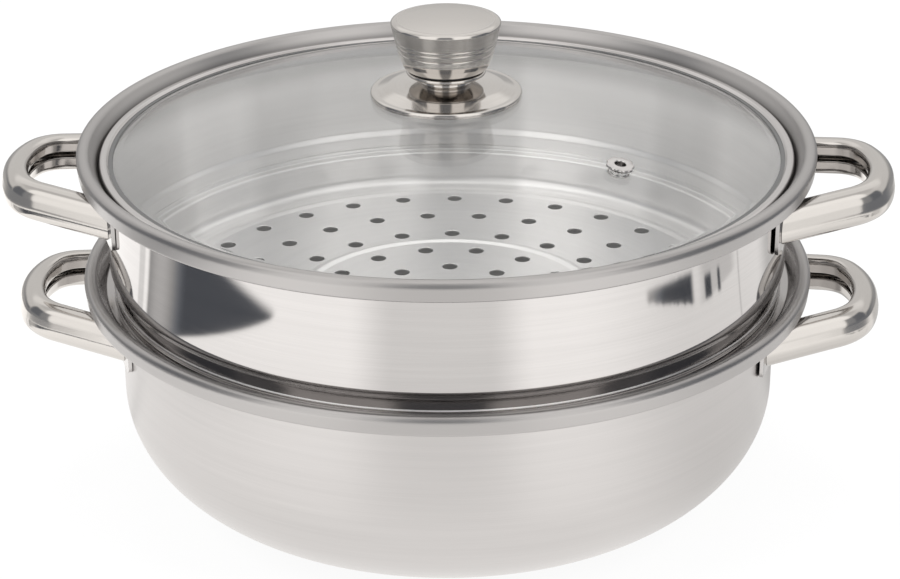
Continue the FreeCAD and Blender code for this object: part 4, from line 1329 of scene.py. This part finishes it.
class STEAMER_OT_stage(bpy.types.Operator):
    """Set the floor, the studio that steel and glass reflect, the lamps, the world and the camera"""

    bl_idname = "steamer.stage"
    bl_label = "Stage"

    def execute(self, context):
        stage = context.scene.steamer_stage
        self.floor()
        self.studio()
        self.lamps(stage.lamp_power)
        self.world(context, stage.world_light)
        self.camera(context, stage.lens)
        context.scene.view_settings.view_transform = "Standard"
        return {"FINISHED"}

    def floor(self):
        """A plain white floor, which the camera sees nine tenths white so that it keeps a faint shadow."""
        mesh = bpy.data.meshes.new("Floor")
        corners = [(-FLOOR_HALF, -FLOOR_HALF, 0), (FLOOR_HALF, -FLOOR_HALF, 0),
                   (FLOOR_HALF, FLOOR_HALF, 0), (-FLOOR_HALF, FLOOR_HALF, 0)]
        mesh.from_pydata(corners, [], [(0, 1, 2, 3)])
        floor = add_object("Floor", mesh)
        paint = new_paint("floor_white")
        matt = paint.read("ShaderNodeBsdfDiffuse", None, {"Color": (0.92, 0.92, 0.92, 1)})
        white = paint.read("ShaderNodeEmission", None, {"Color": (1, 1, 1, 1), "Strength": 1.0})
        paint.surface(paint.read("ShaderNodeMixShader", None, [paint.ray("Is Camera Ray") * 0.9, matt, white]))
        mesh.materials.append(bpy.data.materials["floor_white"])
        floor.visible_glossy = False
        floor.visible_transmission = False

    def studio(self):
        """A round room that only steel and glass see: white floor, pale walls with dark flags, bright ceiling.

        Its light is a formula of the place: the angle turn in degrees, 0 in front and above 0 to the right,
        the distance reach from the pot's axis and the height z.
        """
        profile, _ = bent([(0, ROOM_FLOOR_Z, 0), (ROOM_R, ROOM_FLOOR_Z, 300), (ROOM_R, ROOM_TOP_Z, 500),
                           (0, ROOM_TOP_Z, 0)], run_step=100)
        points, faces = lathe(profile, 96, closed=False)
        mesh = bpy.data.meshes.new("Studio")
        mesh.from_pydata((points * MM).tolist(), [], faces[0].tolist())
        studio = add_object("Studio", mesh)
        paint = new_paint("studio_light")
        x, y, z = paint.split()
        reach = (x * x + y * y).math("SQRT")
        turn = x.math("ARCTAN2", y * -1.0) * (180 / math.pi)
        light = self.floor_light(paint, turn, reach) * paint.fall(z, 0.05, 0.2)
        light = light + self.wall_light(paint, turn, z) * paint.step(z, 0.05, 0.2) * paint.fall(z, 1.5, 1.8)
        light = light + self.ceiling_light(paint, turn, reach) * paint.step(z, 1.5, 1.8)
        tint = paint.colour(paint.step(light, 0.1, 0.5), (0.82, 0.88, 1.0, 1), (1.0, 0.985, 0.965, 1))
        paint.surface(paint.read("ShaderNodeEmission", None, {"Color": tint, "Strength": light}))
        mesh.materials.append(bpy.data.materials["studio_light"])
        for ray in ("camera", "diffuse", "shadow", "volume_scatter"):
            setattr(studio, "visible_" + ray, False)

    def floor_light(self, paint, turn, reach):
        """Light of the floor: dimmer near the pot, in front, on the right and behind, with dark flags."""
        side = abs(turn)
        middle = paint.band(turn, -19, 19, 7) * paint.step(reach, 0.16, 0.34)
        right = paint.step(turn, 35, 75) * paint.fall(turn, 130, 170)
        behind = paint.step(side, 125, 150) * paint.step(reach, 0.4, 0.55)
        light = paint.step(reach, 0.12, 0.42, 1.12, 1.45) * paint.step(reach, 0.5, 0.7, 1.0, 0.82)
        light = light * (1.0 - middle * 0.28) * (1.0 - right * 0.22) * (1.0 - behind * 0.45)
        outer = paint.step(side, 52, 57) * paint.step(side, 100, 165, 0.8, 0.35) * paint.step(reach, 0.48, 0.56)
        flags = self.left_flag(paint, turn, reach) | self.right_flag(paint, turn, reach) | outer
        return light * (1.0 - flags * 0.91)

    def left_flag(self, paint, turn, reach):
        """A pennant and a thin line: with t = (-46 - angle) / 33, from 0.403 - 0.075 t^0.8 to 0.402 + 0.055 t."""
        t = ((turn * -1.0 - 46.0) / 33.0) | 0.0
        near = paint.step(reach + t.math("POWER", 0.8) * 0.075, 0.401, 0.406)
        far = paint.fall(reach - t * 0.055, 0.392, 0.412)
        body = near * far * paint.fall(turn, -48, -45) * paint.step(turn, -98, -96)
        body = body * (1.0 - paint.band(turn, -97, -84, 6) * 0.4)
        return body | paint.band(turn, -103, -99.5, 0.6) * 0.3

    def right_flag(self, paint, turn, reach):
        """A ragged wedge from 0.401 - 0.0016 (angle - 60) to 0.416, and two bars from 0.373 to 0.404.

        A haze lies about the bars, then a thin line, and a soft band further behind.
        """
        ragged = paint.noise(paint.join(turn * 0.6, reach * 60.0, 0.0), 1.0, 3.0, 0.7) - 0.5
        low = reach + (turn - 60.0) * 0.0016 + ragged * 0.012
        high = reach + ragged * 0.006
        wedge = paint.step(low, 0.399, 0.403) * paint.fall(high, 0.411, 0.422)
        wedge = wedge * paint.band(turn, 59, 75.5, 1.0) * paint.step(turn, 57, 66, 0.55, 1.0)
        bars = paint.band(turn, 80.3, 83.4, 0.7) | paint.band(turn, 86, 87.4, 0.5)
        bars = bars * paint.step(reach, 0.370, 0.376) * paint.fall(reach, 0.398, 0.41)
        haze = paint.band(turn, 79, 94, 2.0) * paint.step(reach + (94 - turn) * 0.001, 0.383, 0.388) * 0.3
        line = paint.band(turn, 96.2, 96.8, 0.3) * 0.35
        behind = paint.band(turn, 112, 140, 5) * 0.4
        return wedge | bars | haze | line | behind

    def wall_light(self, paint, turn, z):
        """Light of the walls: two soft boxes beside a dim middle in front, and dark flags at the sides.

        Behind the pot they are dark near the floor and bright from 1.2 m up.
        """
        side = abs(turn)
        boxes = paint.band(side, 18, 74, 3) * 0.5 - paint.step(side, 13, 19, 0.5, 0.0)
        behind = paint.step(side, 100, 140) * (paint.step(z, 0.9, 1.2) * 0.27 - 0.02)
        flags = paint.band(side, 54.5, 100, 2.5) * paint.fall(z, 1.05, 1.45) * 0.74
        strip = paint.step(side, 95, 105) * paint.step(side, 100, 165, 0.7, 0.35) * paint.fall(z, 0.25, 0.5)
        return (boxes + 0.8 + behind) * (1.0 - (flags | strip))

    def ceiling_light(self, paint, turn, reach):
        """Light of the ceiling: even overhead, and further out with the walls' soft boxes and dim middle."""
        side = abs(turn)
        outer = paint.step(reach, 0.35, 0.7)
        boxes = paint.band(side, 22, 78, 3) * 0.35 - paint.step(side, 15, 24, 0.6, 0.0)
        sides = paint.band(side, 82, 120, 6) * 0.3
        return paint.step(reach, 0.5, 0.8, 1.1, 1.0) + (boxes - sides) * outer

    def lamps(self, power):
        """Three soft boxes: left, right and overhead, each aimed at the pot's middle."""
        for name, place, size in LAMPS:
            light = bpy.data.lights.new(name, "AREA")
            light.shape = "SQUARE"
            light.size = size
            light.energy = power
            lamp = add_object(name, light)
            lamp.location = place
            lamp.rotation_euler = (Vector(place) - Vector(LAMP_AIM)).to_track_quat("Z", "Y").to_euler()
            lamp.visible_glossy = False
            lamp.visible_transmission = False

    def world(self, context, strength):
        """A plain world: white to the camera and to gloss and glass, soft fill to everything else."""
        world = bpy.data.worlds.new("World")
        world.use_nodes = True
        context.scene.world = world
        paint = Paint(world.node_tree)
        seen = paint.ray("Is Camera Ray") | paint.ray("Is Glossy Ray") | paint.ray("Is Transmission Ray")
        sky = paint.read("ShaderNodeBackground", None,
                         {"Color": (1, 1, 1, 1), "Strength": seen * (1 - strength) + strength})
        paint.node("ShaderNodeOutputWorld", None, {"Surface": sky})

    def camera(self, context, lens):
        """The camera looks 24.3 degrees down, turned 1.8 degrees to the left of straight ahead."""
        data = bpy.data.cameras.new("Camera")
        data.lens = lens
        data.sensor_width = 36.0
        data.shift_x = CAMERA_SHIFT
        camera = add_object("Camera", data)
        camera.location = CAMERA_PLACE
        look = Euler((math.radians(90 - CAMERA_DOWN), 0, math.radians(CAMERA_TURN))).to_matrix()
        camera.rotation_euler = (look @ Matrix.Rotation(math.radians(CAMERA_ROLL), 3, "Z")).to_euler()
        context.scene.camera = camera


class STEAMER_PT_panel(bpy.types.Panel):
    """Lists the steamer's settings, its pieces and its stage"""

    bl_idname = "STEAMER_PT_panel"
    bl_label = "Steamer pot"
    bl_space_type = "VIEW_3D"
    bl_region_type = "UI"
    bl_category = "Steamer"

    def draw(self, context):
        layout = self.layout
        for name, settings in SETTINGS.items():
            group = getattr(context.scene, name)
            for field in settings.__annotations__:
                layout.prop(group, field)
        for operator in STEPS:
            layout.operator(operator.bl_idname)


SETTINGS = {
    "steamer_finish": SteamerFinishSettings,
    "steamer_shape": SteamerShapeSettings,
    "steamer_mesh": SteamerMeshSettings,
    "steamer_stage": SteamerStageSettings,
}
STEPS = (STEAMER_OT_finishes, STEAMER_OT_pot, STEAMER_OT_tray, STEAMER_OT_handles, STEAMER_OT_lid,
         STEAMER_OT_knob, STEAMER_OT_inner_parts, STEAMER_OT_stage)
CLASSES = (*SETTINGS.values(), *STEPS, STEAMER_PT_panel)


def register():
    """Adds the classes, and the settings to the scene."""
    for one in CLASSES:
        bpy.utils.register_class(one)
    for name, settings in SETTINGS.items():
        setattr(bpy.types.Scene, name, bpy.props.PointerProperty(type=settings))


def unregister():
    """Takes the settings and the classes away again."""
    for name in SETTINGS:
        delattr(bpy.types.Scene, name)
    for one in reversed(CLASSES):
        bpy.utils.unregister_class(one)


def main():
    register()
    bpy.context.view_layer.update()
    for operator in STEPS:
        group, name = operator.bl_idname.split(".")
        getattr(getattr(bpy.ops, group), name)()


if __name__ == "__main__":
    main()
